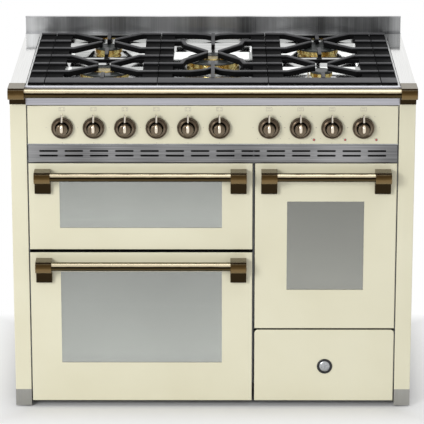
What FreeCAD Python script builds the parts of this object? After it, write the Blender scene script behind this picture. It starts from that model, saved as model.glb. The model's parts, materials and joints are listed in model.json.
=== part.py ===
import FreeCAD
import Part
import Sketcher
import math
import os
from types import SimpleNamespace

from FreeCAD import Rotation, Vector

# Range cooker: three ovens, a storage drawer and a five-burner gas hob, in millimetres.
# +X is the user's right, the doors face -Y and +Z is up. The origin is on the floor, under the
# middle of the whole cooker, handrail included. "Depth" is counted back from the front plane,
# which is the outer face of the doors, the side columns and the control panel.

doc = FreeCAD.newDocument("RangeCooker")

# ---------------------------------------------------------------- driving dimensions

SIZES = [
    # casing
    ("body_width", 1000, "over the two side panels"),
    ("body_depth", 600, "front plane to the rear edges"),
    ("hob_height", 838, "floor to the rim of the hob"),
    ("foot_height", 47, "floor to the side panels"),
    ("column", 40, "width of a side panel seen from the front"),
    ("sheet", 1.5, "folded steel sheet"),
    ("skin", 2, "enamelled door and panel steel"),
    ("panel_depth", 20, "depth of the doors' and panels' folded edges"),
    ("return_lip", 20, "inward lip of a side panel"),
    ("capping", 4, "steel strip on top of a side panel"),
    ("back_recess", 24, "back panel in front of the rear edges"),
    ("upstand", 47, "rear upstand above the hob rim"),
    ("upstand_fold", 12, "folded top edge of the upstand"),
    ("upstand_foot", 20, "fold of the upstand that lies on the hob"),
    ("upstand_play", 0.5, "between a capping and the upstand"),
    ("base_height", 47, "floor to the base tray"),
    # panels above the doors
    ("fascia_height", 48, "front face of the hob top"),
    ("control_height", 97, "height of the control panel"),
    ("vent_height", 46, "height of the slotted vent strip"),
    ("panel_gap", 2, "between the panels, and below the hob top"),
    ("side_gap", 3, "between a side column and a door or panel"),
    ("slot_length", 46, "vent slot"),
    ("slot_width", 4.6, "vent slot"),
    ("slot_edge", 27.75, "strip edge to the first vent slot"),
    ("slot_columns", 14, "vent slots along the strip"),
    ("slot_rows", 12, "distance between the two rows of vent slots"),
    ("slot_drop", 16, "top of the strip to the upper row of slots"),
    # doors and drawer
    ("door_floor", 16.5, "floor to the lowest door edge"),
    ("upper_door", 223, "height of the low left door"),
    ("door_gap", 8, "between the two left doors"),
    ("seam_x", 102, "middle of the gap between the left and right doors"),
    ("seam_gap", 6, "width of that gap"),
    ("drawer_front", 189.5, "height of the drawer front"),
    ("drawer_gap", 4, "between the drawer front and the right door"),
    ("hinge_depth", 12, "hinge axis behind a door's face"),
    ("hinge_rise", 24, "hinge axis above a door's lower edge"),
    ("low_hinge_rise", 49.5, "the same on the tall left door, so that it opens clear of the floor"),
    ("hinge_pin", 4, "hinge pin radius"),
    ("hinge_play", 0.05, "radial clearance of the hinge pins"),
    ("liner_depth", 20, "depth of a door's inner liner"),
    ("glass", 4, "thickness of a pane"),
    ("glass_lap", 12, "pane behind the edge of the window"),
    ("window_side", 76, "left doors: door edge to window"),
    ("right_window_side", 80, "right door: door edge to window"),
    ("upper_window_low", 56, "door edge to window, low oven"),
    ("upper_window_high", 43, "window to door edge, low oven"),
    ("lower_window_low", 102, "door edge to window, tall left oven"),
    ("lower_window_high", 50, "window to door edge, tall left oven"),
    ("right_window_low", 102, "door edge to window, right oven"),
    ("right_window_high", 98, "window to door edge, right oven"),
    # door handles and handrail
    ("handle_inset", 15, "door edge to handle bracket"),
    ("handle_drop", 14, "door edge to the top of the bracket"),
    ("handle_width", 40, "bracket along X"),
    ("handle_reach", 45, "bracket in front of the door"),
    ("handle_hub", 28, "height of the bracket's projecting block"),
    ("handle_height", 62, "whole height of the bracket"),
    ("handle_radius", 11, "handle bar"),
    ("rail_above", 8, "top of the handrail brackets above the hob rim"),
    ("rail_reach", 65, "handrail bracket in front of the front plane"),
    ("rail_hub", 28, "height of its projecting block"),
    ("rail_height", 52, "whole height of the bracket"),
    ("rail_radius", 12, "handrail bar"),
    # ovens
    ("rear_space", 106, "behind the cavities, for the fan motor and wiring"),
    ("door_seal", 6, "between a closed door and the front frame of its cavity"),
    ("oven_side", 50, "door edge to the inside of the cavity"),
    ("oven_floor", 24, "hinge axis to the floor of the cavity"),
    ("oven_ceiling", 28, "door edge to the ceiling of the cavity"),
    ("shelf_wire", 4, "thickness of a shelf's bars"),
    ("shelf_play", 3, "side clearance of a shelf"),
    ("shelf_rail", 9, "how far the shelf rails stand into the oven"),
    ("element_radius", 4, "heating element tube"),
    ("fan_radius", 75, "oven fan"),
    ("fan_shaft", 4, "radius of the fan motor's shaft"),
    # drawer
    ("drawer_wall", 1.5, "sheet of the drawer box"),
    ("drawer_side", 20, "drawer front edge to the side of the box"),
    ("drawer_space", 76, "behind the closed drawer"),
    ("drawer_low", 60, "floor to the drawer box"),
    ("drawer_rim", 20, "rim of the drawer box below the top of its front"),
    ("runner_low", 106, "floor to the runner channels"),
    ("runner_height", 26, "height of a runner channel"),
    ("runner_width", 12, "width of a runner channel"),
    ("runner_play", 0.3, "clearance of a rail in its channel"),
    ("corner_round", 9, "upper corners of the drawer front"),
    # controls
    ("knob_margin", 85.4, "panel end to the first knob"),
    ("group_gap", 122.4, "last gas knob to first oven knob"),
    ("knob_rise", 42, "panel edge up to the knob axes"),
    ("knob_radius", 27, "skirt of a knob"),
    ("knob_lift", 5, "panel to the back of a knob's skirt"),
    ("knob_reach", 36, "depth of a knob"),
    ("hub_radius", 13, "grip of a knob"),
    ("pointer_reach", 36.5, "axis to the tip of the pointer"),
    ("pointer_width", 6, "width of the pointer"),
    ("shaft_radius", 4, "knob shaft"),
    ("shaft_hole", 6.5, "hole in the control panel"),
    ("plunger_radius", 5, "valve plunger"),
    ("plunger_nose", 2, "pin of the plunger inside the knob's shaft"),
    ("push_travel", 4, "how far a gas knob is pushed in"),
    ("running_play", 0.05, "radial clearance of turning and sliding parts"),
    ("manifold_radius", 10, "gas manifold pipe"),
    ("inlet_radius", 10.48, "half-inch pipe thread of the gas inlet, outside"),
    # hob
    ("pan_drop", 38, "hob rim down to the floor of the wells under the burners"),
    ("land_drop", 16, "hob rim down to the land between the wells"),
    ("well_margin", 8, "window of a pan support to the side of its well"),
    ("well_front", 96, "front plane to the front wells"),
    ("well_split", 368, "front plane to the end of the two front wells at the sides"),
    ("well_bridge", 24, "land between the front and rear wells"),
    ("well_rear", 32, "rear edge of the pan to the rear wells"),
    ("well_corner", 14, "corner radius of a well"),
    ("well_draft", 20, "degrees that the walls of a well lean outwards"),
    ("burner_pad", 4, "height of the pressed pad under a burner"),
    ("pad_margin", 9, "burner to the edge of its pad"),
    ("pad_spread", 14, "how much wider each side of a pad is at its front"),
    ("pad_rear", 3, "rear pads to the rear walls of their wells"),
    ("pan_side", 3.5, "rim beside the pan"),
    ("pan_front", 12.5, "rim in front of the pan"),
    ("pan_rear", 28, "rim behind the pan"),
    ("front_burner", 198, "front edge of the pan supports to the front burners"),
    ("rear_burner", 83, "rear edge of the pan supports to the rear burners"),
    ("dual_radius", 63, "front left burner, with two crowns"),
    ("wok_radius", 70, "middle burner, with two crowns"),
    ("small_radius", 28, "front right burner"),
    ("medium_radius", 35, "rear left burner"),
    ("large_radius", 54, "rear right burner"),
    ("inner_crown", 23, "inner crown of the two double burners"),
    ("crown_height", 23, "pan to the top of the crowns"),
    ("burner_throat", 20, "radius of the mixing tube under a burner"),
    # pan supports
    ("grate_above", 8, "top of the pan supports above the hob rim"),
    ("grate_front", 2.5, "front edge of the pan to the supports"),
    ("grate_rear", 3, "supports to the rear edge of the pan"),
    ("grate_side", 1.5, "supports to the side edge of the pan"),
    ("grate_seam", 137, "middle of the cooker to the seams between castings"),
    ("grate_play", 1, "gap at each side of a seam"),
    ("grate_plate", 5, "thickness of the flat webs"),
    ("grate_rib", 7, "height of the ribs above the webs"),
    ("rib_width", 9, "ribs"),
    ("ledge", 51, "front web"),
    ("rib_first", 133, "depth of the front rib"),
    ("groove_in", 40, "outer edge of a side casting to its groove"),
    ("groove_width", 2.5, "width of the groove"),
    ("side_web_in", 38, "flat web along the inner edge of a side casting"),
    ("side_web_out", 82, "flat web along its outer edge"),
    ("middle_web", 35, "flat webs of the middle casting"),
    ("groove_depth", 2, "groove below the top of the web"),
    ("arm_shoulder", 12, "side of a window to the bend of an arm"),
    ("arm_gap", 20, "arm tips to the burner's axis"),
    ("bar_gap", 8, "front left burner to the low bar behind it"),
    ("finger_step", 36, "low bar to the full height of its finger"),
    ("front_finger", 97, "front burners' axes to the tips of their front fingers"),
    ("rear_finger", 93, "the same for the rear burners"),
    ("grate_foot", 7, "radius of a casting's feet"),
]

sheet = doc.addObject("Spreadsheet::Sheet", "Sizes")
for row, (alias, number, note) in enumerate(SIZES, start=1):
    sheet.set(f"A{row}", note)
    sheet.set(f"B{row}", str(number))
    sheet.setAlias(f"B{row}", alias)
doc.recompute()


class Size:
    """A number together with the sheet formula that gives it."""

    def __init__(self, number, formula):
        self.number = float(number)
        self.formula = formula

    def __add__(self, other):
        other = size(other)
        return Size(self.number + other.number, f"({self.formula} + {other.formula})")

    def __sub__(self, other):
        other = size(other)
        return Size(self.number - other.number, f"({self.formula} - {other.formula})")

    def __mul__(self, other):
        other = size(other)
        return Size(self.number * other.number, f"({self.formula} * {other.formula})")

    def __truediv__(self, other):
        other = size(other)
        return Size(self.number / other.number, f"({self.formula} / {other.formula})")

    def __radd__(self, other):
        return size(other) + self

    def __rsub__(self, other):
        return size(other) - self

    def __rmul__(self, other):
        return size(other) * self

    def __neg__(self):
        return Size(-self.number, f"(-1 * {self.formula})")


def size(value):
    return value if isinstance(value, Size) else Size(value, f"({value})")


S = SimpleNamespace(**{alias: Size(sheet.get(alias), f"Sizes.{alias}") for alias, _, _ in SIZES})

# places worked out from the driving dimensions
half = S.body_width / 2
inner = half - S.column
wall_x = inner - S.sheet
front = -(S.body_depth - S.rail_reach) / 2
rear_in = S.body_depth - S.back_recess
pan_floor = S.hob_height - S.pan_drop
land = S.hob_height - S.land_drop
burner_seat = pan_floor + S.burner_pad
side_top = S.hob_height - 2
hob_under = S.hob_height - S.fascia_height
door_left = -(inner - S.side_gap)
door_right = inner - S.side_gap
divider = (S.seam_x - S.sheet, S.seam_x + S.sheet)

# the fronts, from the hob down
control_low = hob_under - S.panel_gap - S.control_height
vent_top = control_low - S.panel_gap
vent_low = vent_top - S.vent_height
door_top = vent_low - S.panel_gap
upper_low = door_top - S.upper_door
lower_top = upper_low - S.door_gap
drawer_top = S.door_floor + S.drawer_front
right_low = drawer_top + S.drawer_gap
shelf_top = right_low + 5
knob_height = control_low + S.knob_rise

# the ovens and the drawer, from the front back
oven_front = S.panel_depth + S.liner_depth + S.door_seal
oven_back = rear_in - S.rear_space
oven_depth = oven_back - oven_front
drawer_end = rear_in - S.drawer_space

# the hob
grate_top = S.hob_height + S.grate_above
grate_near = S.pan_front + S.grate_front
grate_far = S.body_depth - S.pan_rear - S.grate_rear
grate_outer = inner - S.pan_side - S.grate_side
grate_inner = S.grate_seam + S.grate_play
side_window = (grate_inner + S.side_web_in, grate_outer - S.side_web_out)
well_end = S.body_depth - S.pan_rear - S.well_rear
middle_window = S.grate_seam - S.grate_play - S.middle_web
burner_x = (side_window[0] + side_window[1]) / 2
front_burner = grate_near + S.front_burner
rear_burner = grate_far - S.rear_burner
middle_burner = (front_burner + rear_burner) / 2
crown_top = pan_floor + S.crown_height

# ---------------------------------------------------------------- how the pieces are built

FRONT = "XZ_Plane"
TOP = "XY_Plane"
SIDE = "YZ_Plane"
TURNS = {
    "X": Rotation(Vector(0, 1, 0), 90),
    "Y": Rotation(Vector(1, 0, 0), -90),
    "Z": Rotation(),
}
nodes = []


def bind(obj, prop, value):
    obj.setExpression(prop, size(value).formula)


def place(obj, x, depth, z):
    bind(obj, "Placement.Base.x", x)
    bind(obj, "Placement.Base.y", front + depth)
    bind(obj, "Placement.Base.z", z)


def node(label, obj):
    """Makes obj the sub-part called label."""
    obj.Label = label
    nodes.append(obj)
    return obj


def body(name, x=0, depth=0, z=0):
    """An empty body whose own origin is at x, depth, z."""
    made = doc.addObject("PartDesign::Body", name)
    place(made, x, depth, z)
    return made


def pin_down(sketch, curve, point, x, y):
    """Fixes one point of a sketch by two distances from the sketch's origin."""
    for kind, value in (("DistanceX", size(x)), ("DistanceY", size(y))):
        rule = sketch.addConstraint(Sketcher.Constraint(kind, -1, 1, curve, point, value.number))
        sketch.setExpression(f"Constraints[{rule}]", value.formula)


def polygon(corners):
    def draw(sketch):
        first = sketch.GeometryCount
        count = len(corners)
        points = [Vector(size(x).number, size(y).number, 0) for x, y in corners]
        for i in range(count):
            sketch.addGeometry(Part.LineSegment(points[i], points[(i + 1) % count]), False)
        for i in range(count):
            following = first + (i + 1) % count
            sketch.addConstraint(Sketcher.Constraint("Coincident", first + i, 2, following, 1))
            pin_down(sketch, first + i, 1, *corners[i])
    return draw


def rect(x0, y0, x1, y1):
    return polygon([(x0, y0), (x1, y0), (x1, y1), (x0, y1)])


def disc(x, y, radius):
    def draw(sketch):
        centre = Vector(size(x).number, size(y).number, 0)
        circle = Part.Circle(centre, Vector(0, 0, 1), size(radius).number)
        curve = sketch.addGeometry(circle, False)
        pin_down(sketch, curve, 3, x, y)
        rule = sketch.addConstraint(Sketcher.Constraint("Radius", curve, size(radius).number))
        sketch.setExpression(f"Constraints[{rule}]", size(radius).formula)
    return draw


def slot(x, y, length, width):
    """Slot with round ends, centred on x, y and lying along the sketch's X."""
    reach = (size(length) - width) / 2
    radius = size(width) / 2

    def draw(sketch):
        first = sketch.GeometryCount
        cx, cy, r, run = size(x).number, size(y).number, radius.number, reach.number
        for sign in (1, -1):
            tip = cx + sign * run
            start = Vector(tip, cy - sign * r, 0)
            end = Vector(tip, cy + sign * r, 0)
            sketch.addGeometry(Part.Arc(start, Vector(tip + sign * r, cy, 0), end), False)
            sketch.addGeometry(Part.LineSegment(end, end - Vector(2 * sign * run, 0, 0)), False)
        for i in range(4):
            following = first + (i + 1) % 4
            sketch.addConstraint(Sketcher.Constraint("Tangent", first + i, 2, following, 1))
        for arc, sign in ((first, 1), (first + 2, -1)):
            pin_down(sketch, arc, 3, size(x) + sign * reach, y)
            rule = sketch.addConstraint(Sketcher.Constraint("Radius", arc, r))
            sketch.setExpression(f"Constraints[{rule}]", radius.formula)
    return draw


def round_rect(x0, y0, x1, y1, radius):
    """Rectangle with round corners, drawn anticlockwise from its lower side."""
    def draw(sketch):
        first = sketch.GeometryCount
        left, low, right, high, r = (size(value).number for value in (x0, y0, x1, y1, radius))
        slant = r * (1 - math.sqrt(0.5))
        sides = [
            ((left + r, low), (right - r, low)), ((right, low + r), (right, high - r)),
            ((right - r, high), (left + r, high)), ((left, high - r), (left, low + r)),
        ]
        bends = [
            (right - slant, low + slant), (right - slant, high - slant),
            (left + slant, high - slant), (left + slant, low + slant),
        ]
        for i, bend in enumerate(bends):
            start, end = (Vector(*point, 0) for point in sides[i])
            following = Vector(*sides[(i + 1) % 4][0], 0)
            sketch.addGeometry(Part.LineSegment(start, end), False)
            sketch.addGeometry(Part.Arc(end, Vector(*bend, 0), following), False)
        for i in range(8):
            following = first + (i + 1) % 8
            sketch.addConstraint(Sketcher.Constraint("Tangent", first + i, 2, following, 1))
        centres = [
            (x1 - radius, y0 + radius), (x1 - radius, y1 - radius),
            (x0 + radius, y1 - radius), (x0 + radius, y0 + radius),
        ]
        for i, centre in enumerate(centres):
            arc = first + 2 * i + 1
            pin_down(sketch, arc, 3, *centre)
            rule = sketch.addConstraint(Sketcher.Constraint("Radius", arc, r))
            sketch.setExpression(f"Constraints[{rule}]", size(radius).formula)
    return draw


def sketch_on(owner, role, at, shapes):
    """Sketch on one of the body's own planes, moved back, up or right by at."""
    sketch = owner.newObject("Sketcher::SketchObject", "Outline")
    plane = next(f for f in owner.Origin.OriginFeatures if f.Role == role)
    sketch.AttachmentSupport = [(plane, "")]
    sketch.MapMode = "FlatFace"
    along = -size(at) if role == FRONT else size(at)
    sketch.setExpression("AttachmentOffset.Base.z", along.formula)
    for draw in shapes:
        draw(sketch)
    return sketch


def grow(kind, owner, role, at, length, shapes):
    """Pad or pocket that runs back, up or right from its sketch."""
    made = owner.newObject(f"PartDesign::{kind}", kind)
    made.Profile = sketch_on(owner, role, at, shapes)
    bind(made, "Length", length)
    made.Reversed = (kind == "Pad") == (role == FRONT)
    return made


def pad(owner, role, at, length, *shapes):
    return grow("Pad", owner, role, at, length, shapes)


def pocket(owner, role, at, length, *shapes):
    return grow("Pocket", owner, role, at, length, shapes)


def turned(owner, role, profile):
    """Solid turned about the sketch's vertical axis: Z on a front sketch, depth on a top one."""
    made = owner.newObject("PartDesign::Revolution", "Turned")
    made.Profile = sketch_on(owner, role, 0, [polygon(profile)])
    made.ReferenceAxis = (made.Profile[0], ["V_Axis"])
    made.Angle = 360
    return made


def rounded(owner, radius, wanted, kind="Fillet"):
    """Fillets or chamfers the edges of the body's last feature that wanted picks."""
    doc.recompute()
    base = owner.Tip
    names = [f"Edge{i}" for i, edge in enumerate(base.Shape.Edges, start=1) if wanted(edge)]
    made = owner.newObject(f"PartDesign::{kind}", kind)
    made.Base = (base, names)
    bind(made, "Radius" if kind == "Fillet" else "Size", radius)
    return made


def runs_along(axis, edge):
    """True where a straight edge lies along the axis with that index."""
    ends = [vertex.Point for vertex in edge.Vertexes]
    if len(ends) != 2 or not isinstance(edge.Curve, Part.Line):
        return False
    step = ends[1] - ends[0]
    return all(abs(step[other]) < 0.001 for other in range(3) if other != axis)


def at_depth(edge, depth):
    return all(abs(vertex.Y - size(depth).number) < 0.001 for vertex in edge.Vertexes)


def block(name, x, depth, z):
    """Box between pairs of limits."""
    made = doc.addObject("Part::Box", name)
    for prop, (low, high) in zip(("Length", "Width", "Height"), (x, depth, z)):
        bind(made, prop, size(high) - low)
    place(made, x[0], depth[0], z[0])
    return made


def rod(name, axis, x, depth, z, radius, length):
    """Cylinder that runs from x, depth, z along an axis."""
    made = doc.addObject("Part::Cylinder", name)
    made.Placement.Rotation = TURNS[axis]
    bind(made, "Radius", radius)
    bind(made, "Height", length)
    place(made, x, depth, z)
    return made


def fused(name, pieces):
    made = doc.addObject("Part::MultiFuse", name)
    made.Shapes = pieces
    made.Refine = True
    return made


def without(name, base, tool):
    made = doc.addObject("Part::Cut", name)
    made.Base = base
    made.Tool = tool
    made.Refine = True
    return made


def group(name, pieces):
    """Several like solids that share one node."""
    made = doc.addObject("Part::Compound", name)
    made.Links = pieces
    return made


def folded_panel(name, x0, z0, x1, z1, thickness, depth):
    """Sheet panel with its four edges folded back, modelled from its front face."""
    made = body(name)
    pad(made, FRONT, 0, depth, rect(x0, z0, x1, z1))
    rounded(made, thickness, lambda edge: at_depth(edge, 0))
    inside = rect(x0 + thickness, z0 + thickness, x1 - thickness, z1 - thickness)
    pocket(made, FRONT, thickness, depth - thickness, inside)
    return made


# ---------------------------------------------------------------- casing

def side_panel(sign):
    """Column folded from one sheet, open towards the cabinet."""
    made = body("SidePanel", sign * half)
    t = S.sheet

    def across(distance):
        return -sign * size(distance)

    outline = [
        (across(0), 0), (across(S.column), 0), (across(S.column), S.return_lip),
        (across(S.column - t), S.return_lip), (across(S.column - t), t), (across(t), t),
        (across(t), S.body_depth - t), (across(S.column - t), S.body_depth - t),
        (across(S.column - t), S.body_depth - S.return_lip),
        (across(S.column), S.body_depth - S.return_lip),
        (across(S.column), S.body_depth), (across(0), S.body_depth),
    ]
    pad(made, TOP, S.foot_height, side_top - S.foot_height, polygon(outline))
    rounded(made, S.sheet, lambda edge: runs_along(2, edge) and at_depth(edge, 0))
    return made


def capping_strip(sign):
    """Stainless strip with bevelled long edges on top of a side panel."""
    made = body("Capping", 0 if sign > 0 else -half, 0, side_top)
    start = inner if sign > 0 else size(0)
    bevel = 1
    corners = [
        (start, 0), (start + S.column, 0), (start + S.column, S.capping - bevel),
        (start + S.column - bevel, S.capping), (start + bevel, S.capping), (start, S.capping - bevel),
    ]
    pad(made, FRONT, 0, S.body_depth - S.upstand_foot - S.upstand_play, polygon(corners))
    return made


def foot(sign, rearwards):
    """Square leg sleeve on a round levelling pad."""
    length = 60
    depth = S.body_depth - length if rearwards else 0
    made = body("Foot", sign * (half - S.column / 2), depth)
    side = S.column / 2
    pad(made, TOP, 0, 4, disc(0, length / 2, side - 2))
    pad(made, TOP, 4, S.foot_height - 4, rect(-side, 0, side, length))
    return made


def cabinet_frame():
    """Welded frame: base tray, side walls, divider, drawer shelf and front rail."""
    base_top = S.base_height + S.sheet
    skirt_room = 70
    base = block("Base", (-inner, inner), (skirt_room, rear_in), (S.base_height, base_top))
    walls = [
        block("Wall", limits, (S.panel_depth + 2, rear_in), (base_top, hob_under))
        for limits in ((-inner, -wall_x), (wall_x, inner))
    ]
    middle = block("Divider", divider, (oven_front, rear_in), (base_top, vent_top))
    shelf = block("Shelf", (divider[1], wall_x), (oven_front, rear_in), (shelf_top - S.sheet, shelf_top))
    rail = block("Rail", (-wall_x, wall_x), (S.sheet, 60), (vent_top, control_low))
    return fused("CabinetFrame", [base, *walls, middle, shelf, rail])


def back_panel():
    """Rear sheet with two rows of louvre slots, the gas inlet's hole and the cable gland."""
    made = body("BackSheet")
    top = hob_under
    bottom = S.base_height + S.sheet
    pad(made, FRONT, rear_in, S.sheet, rect(-wall_x, bottom, wall_x, top))
    pocket(made, FRONT, rear_in, S.sheet,
           disc(inlet_x, inlet_z, S.inlet_radius + 2), disc(gland_x, gland_z, gland_neck + 0.3))
    for height in (300, 560):
        cutter = pocket(made, FRONT, rear_in, S.sheet, slot(-wall_x + 90, height, 60, 6))
        row = made.newObject("PartDesign::LinearPattern", "Louvres")
        row.Originals = [cutter]
        row.Direction = (cutter.Profile[0], ["H_Axis"])
        bind(row, "Length", 2 * (wall_x - 90))
        row.Occurrences = 10
        made.Tip = row
    gland = body("Gland", gland_x, rear_in, gland_z)
    turned(gland, TOP, [
        (gland_bore, -8), (gland_neck, -8), (gland_neck, S.sheet), (gland_neck + 5, S.sheet),
        (gland_neck + 5, 6), (gland_neck, 8), (gland_neck - 1, 18), (gland_bore, 18),
    ])
    return group("BackPanel", [made, gland])


inlet_x = -inner + 60
inlet_z = control_low + S.manifold_radius + 2
gland_x = inner - 90
gland_z = size(140)
gland_bore = size(6)
gland_neck = size(11)


def wells(grown):
    """Outlines of the five wells under the burners, each larger by grown on every side."""
    margin = S.well_margin
    rear = well_end
    spans = []
    for sign in (-1, 1):
        sides = (sign * (side_window[0] - margin), sign * (side_window[1] + margin))
        left, right = sides if sign > 0 else (sides[1], sides[0])
        spans.append((left, S.well_front, right, S.well_split))
        spans.append((left, S.well_split + S.well_bridge, right, rear))
    spans.append((-(middle_window + margin), S.well_front, middle_window + margin, rear))
    return [
        round_rect(x0 - grown, near - grown, x1 + grown, far + grown, S.well_corner + grown)
        for x0, near, x1, far in spans
    ]


def burner_pads(shrunk):
    """Tapered outlines round the burners, each smaller by shrunk on every side."""
    pads = []
    for x, depth, radius, _ in BURNERS:
        reach = radius + S.pad_margin - shrunk
        wide = reach + S.pad_spread
        end = well_end - S.pad_rear - shrunk if depth is rear_burner else depth + reach
        pads.append(polygon([(x - wide, depth - reach), (x + wide, depth - reach),
                             (x + reach, end), (x - reach, end)]))
    return pads


def hob_top():
    """Pressed stainless hob: a rim, a land that carries the pan supports and five deeper wells."""
    made = body("HobTop")
    depth = S.body_depth - 4
    pad(made, TOP, hob_under, S.fascia_height, rect(-inner, 0, inner, depth))
    rim = S.hob_height.number
    rounded(made, 5, lambda edge: runs_along(0, edge) and at_depth(edge, 0)
            and abs(edge.Vertexes[0].Z - rim) < 0.001)
    side = inner - S.pan_side
    back = S.body_depth - S.pan_rear
    pocket(made, TOP, land, S.land_drop, rect(-side, S.pan_front, side, back))
    under = 2
    pocket(made, TOP, hob_under, land - S.sheet - hob_under,
           rect(-side + under, S.pan_front + under, side - under, back - under))
    shells = pad(made, TOP, pan_floor - S.sheet, land - pan_floor + S.sheet, *wells(S.sheet))
    hollows = pocket(made, TOP, pan_floor, land - pan_floor, *wells(0))
    for walls in (shells, hollows):
        bind(walls, "TaperAngle", S.well_draft)
    pad(made, TOP, pan_floor, S.burner_pad, *burner_pads(0))
    pocket(made, TOP, pan_floor - S.sheet, S.burner_pad, *burner_pads(S.sheet))
    holes = [disc(x, depth, S.burner_throat + 0.5) for x, depth, _, _ in BURNERS]
    pocket(made, TOP, burner_seat - S.sheet, S.sheet, *holes)
    return made


def upstand():
    """Rear upstand: a sheet folded forwards at its foot and along its top edge."""
    made = body("Upstand", -half, 0, S.hob_height)
    t = S.sheet
    back = S.body_depth
    outline = [
        (back - S.upstand_foot, 0), (back, 0), (back, S.upstand), (back - S.upstand_fold, S.upstand),
        (back - S.upstand_fold, S.upstand - t), (back - t, S.upstand - t), (back - t, t),
        (back - S.upstand_foot, t),
    ]
    pad(made, SIDE, 0, S.body_width, polygon(outline))
    return made


def control_panel():
    """Enamelled panel with a hole for each knob's shaft."""
    top = control_low + S.control_height
    made = folded_panel("ControlPanel", door_left, control_low, door_right, top,
                        S.sheet, S.panel_depth)
    holes = [disc(x, knob_height, S.shaft_hole) for x in GAS_KNOBS + OVEN_KNOBS]
    pocket(made, FRONT, 0, S.sheet, *holes)
    return made


def vent_strip():
    """Steel strip with two rows of punched slots that let the ovens' cooling air out."""
    made = folded_panel("VentStrip", door_left, vent_low, door_right, vent_top,
                        S.sheet, S.panel_depth)
    first_x = door_left + S.slot_edge + S.slot_length / 2
    upper = vent_top - S.slot_drop
    cutter = pocket(made, FRONT, 0, S.sheet,
                    slot(first_x, upper, S.slot_length, S.slot_width),
                    slot(first_x, upper - S.slot_rows, S.slot_length, S.slot_width))
    row = made.newObject("PartDesign::LinearPattern", "Slots")
    row.Originals = [cutter]
    row.Direction = (cutter.Profile[0], ["H_Axis"])
    bind(row, "Length", -2 * first_x)
    bind(row, "Occurrences", S.slot_columns)
    made.Tip = row
    return made


# ---------------------------------------------------------------- handles

def bracket(name, x, top, width, reach, hub, height):
    """Cast bracket: a grooved block that holds the bar, over a foot that slopes back to the door."""
    made = body(name, x, 0, top)
    lip = reach * 0.12
    groove = 1.5
    outline = [
        (0, 0), (-(reach - lip), 0), (-(reach - lip), -groove), (-reach, -groove),
        (-reach, -hub), (-reach * 0.66, -hub), (-reach * 0.4, -height), (0, -height),
    ]
    pad(made, SIDE, 0, width, polygon(outline))
    edge_round = 3
    rounded(made, edge_round, lambda edge: runs_along(0, edge) and at_depth(edge, -reach))
    return made


def handle(name, label, door):
    """Bar between two brackets on a door."""
    top = door.z1 - S.handle_drop
    starts = (door.x0 + S.handle_inset, door.x1 - S.handle_inset - S.handle_width)
    brackets = [
        bracket(name + "Bracket", x, top, S.handle_width, S.handle_reach, S.handle_hub, S.handle_height)
        for x in starts
    ]
    node(label + "_handle_brackets", group(name + "Brackets", brackets))
    bar = rod(name + "Bar", "X", starts[0] + S.handle_width, -(S.handle_reach - S.handle_hub / 2 - 2),
              top - S.handle_hub / 2, S.handle_radius, starts[1] - starts[0] - S.handle_width)
    node(label + "_handle_bar", bar)


def handrail():
    """Towel rail across the front of the hob."""
    starts = (-half, inner)
    top = S.hob_height + S.rail_above
    brackets = [
        bracket("RailBracket", x, top, S.column, S.rail_reach, S.rail_hub, S.rail_height)
        for x in starts
    ]
    node("handrail_brackets", group("RailBrackets", brackets))
    rail_depth = -(S.rail_reach - S.rail_hub / 2 - 8)
    bar = rod("RailBar", "X", -inner, rail_depth, top - S.rail_hub / 2 - 2, S.rail_radius, 2 * inner)
    node("handrail_bar", bar)


# ---------------------------------------------------------------- doors and ovens

def opening(x0, z0, x1, z1, rise, window_side, window_low, window_high, frame_low, frame, shelves):
    """One oven: its door's edges, hinge height, window, front frame and evenly spaced shelves."""
    side = S.oven_side
    pivot = z0 + rise
    floor, ceiling = pivot + S.oven_floor, z1 - S.oven_ceiling
    spacing = (ceiling - floor) / (shelves + 1)
    return SimpleNamespace(
        x0=x0, z0=z0, x1=x1, z1=z1, pivot=pivot,
        window=(x0 + window_side, z0 + window_low, x1 - window_side, z1 - window_high),
        frame=(frame[0], frame_low, frame[1], z1),
        inside=(x0 + side, floor, x1 - side, ceiling),
        shelves=[spacing * (i + 1) for i in range(shelves)],
    )


left_frame = (-wall_x, divider[0])
right_frame = (divider[1], wall_x)
left_edge = S.seam_x - S.seam_gap / 2
right_edge = S.seam_x + S.seam_gap / 2
OVENS = {
    "upper": opening(door_left, upper_low, left_edge, door_top, S.hinge_rise, S.window_side,
                     S.upper_window_low, S.upper_window_high, upper_low - 7, left_frame, 1),
    "lower": opening(door_left, S.door_floor, left_edge, lower_top, S.low_hinge_rise, S.window_side,
                     S.lower_window_low, S.lower_window_high, S.door_floor + S.low_hinge_rise + 14,
                     left_frame, 3),
    "right": opening(right_edge, right_low, door_right, door_top, S.hinge_rise, S.right_window_side,
                     S.right_window_low, S.right_window_high, shelf_top, right_frame, 2),
}


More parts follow.
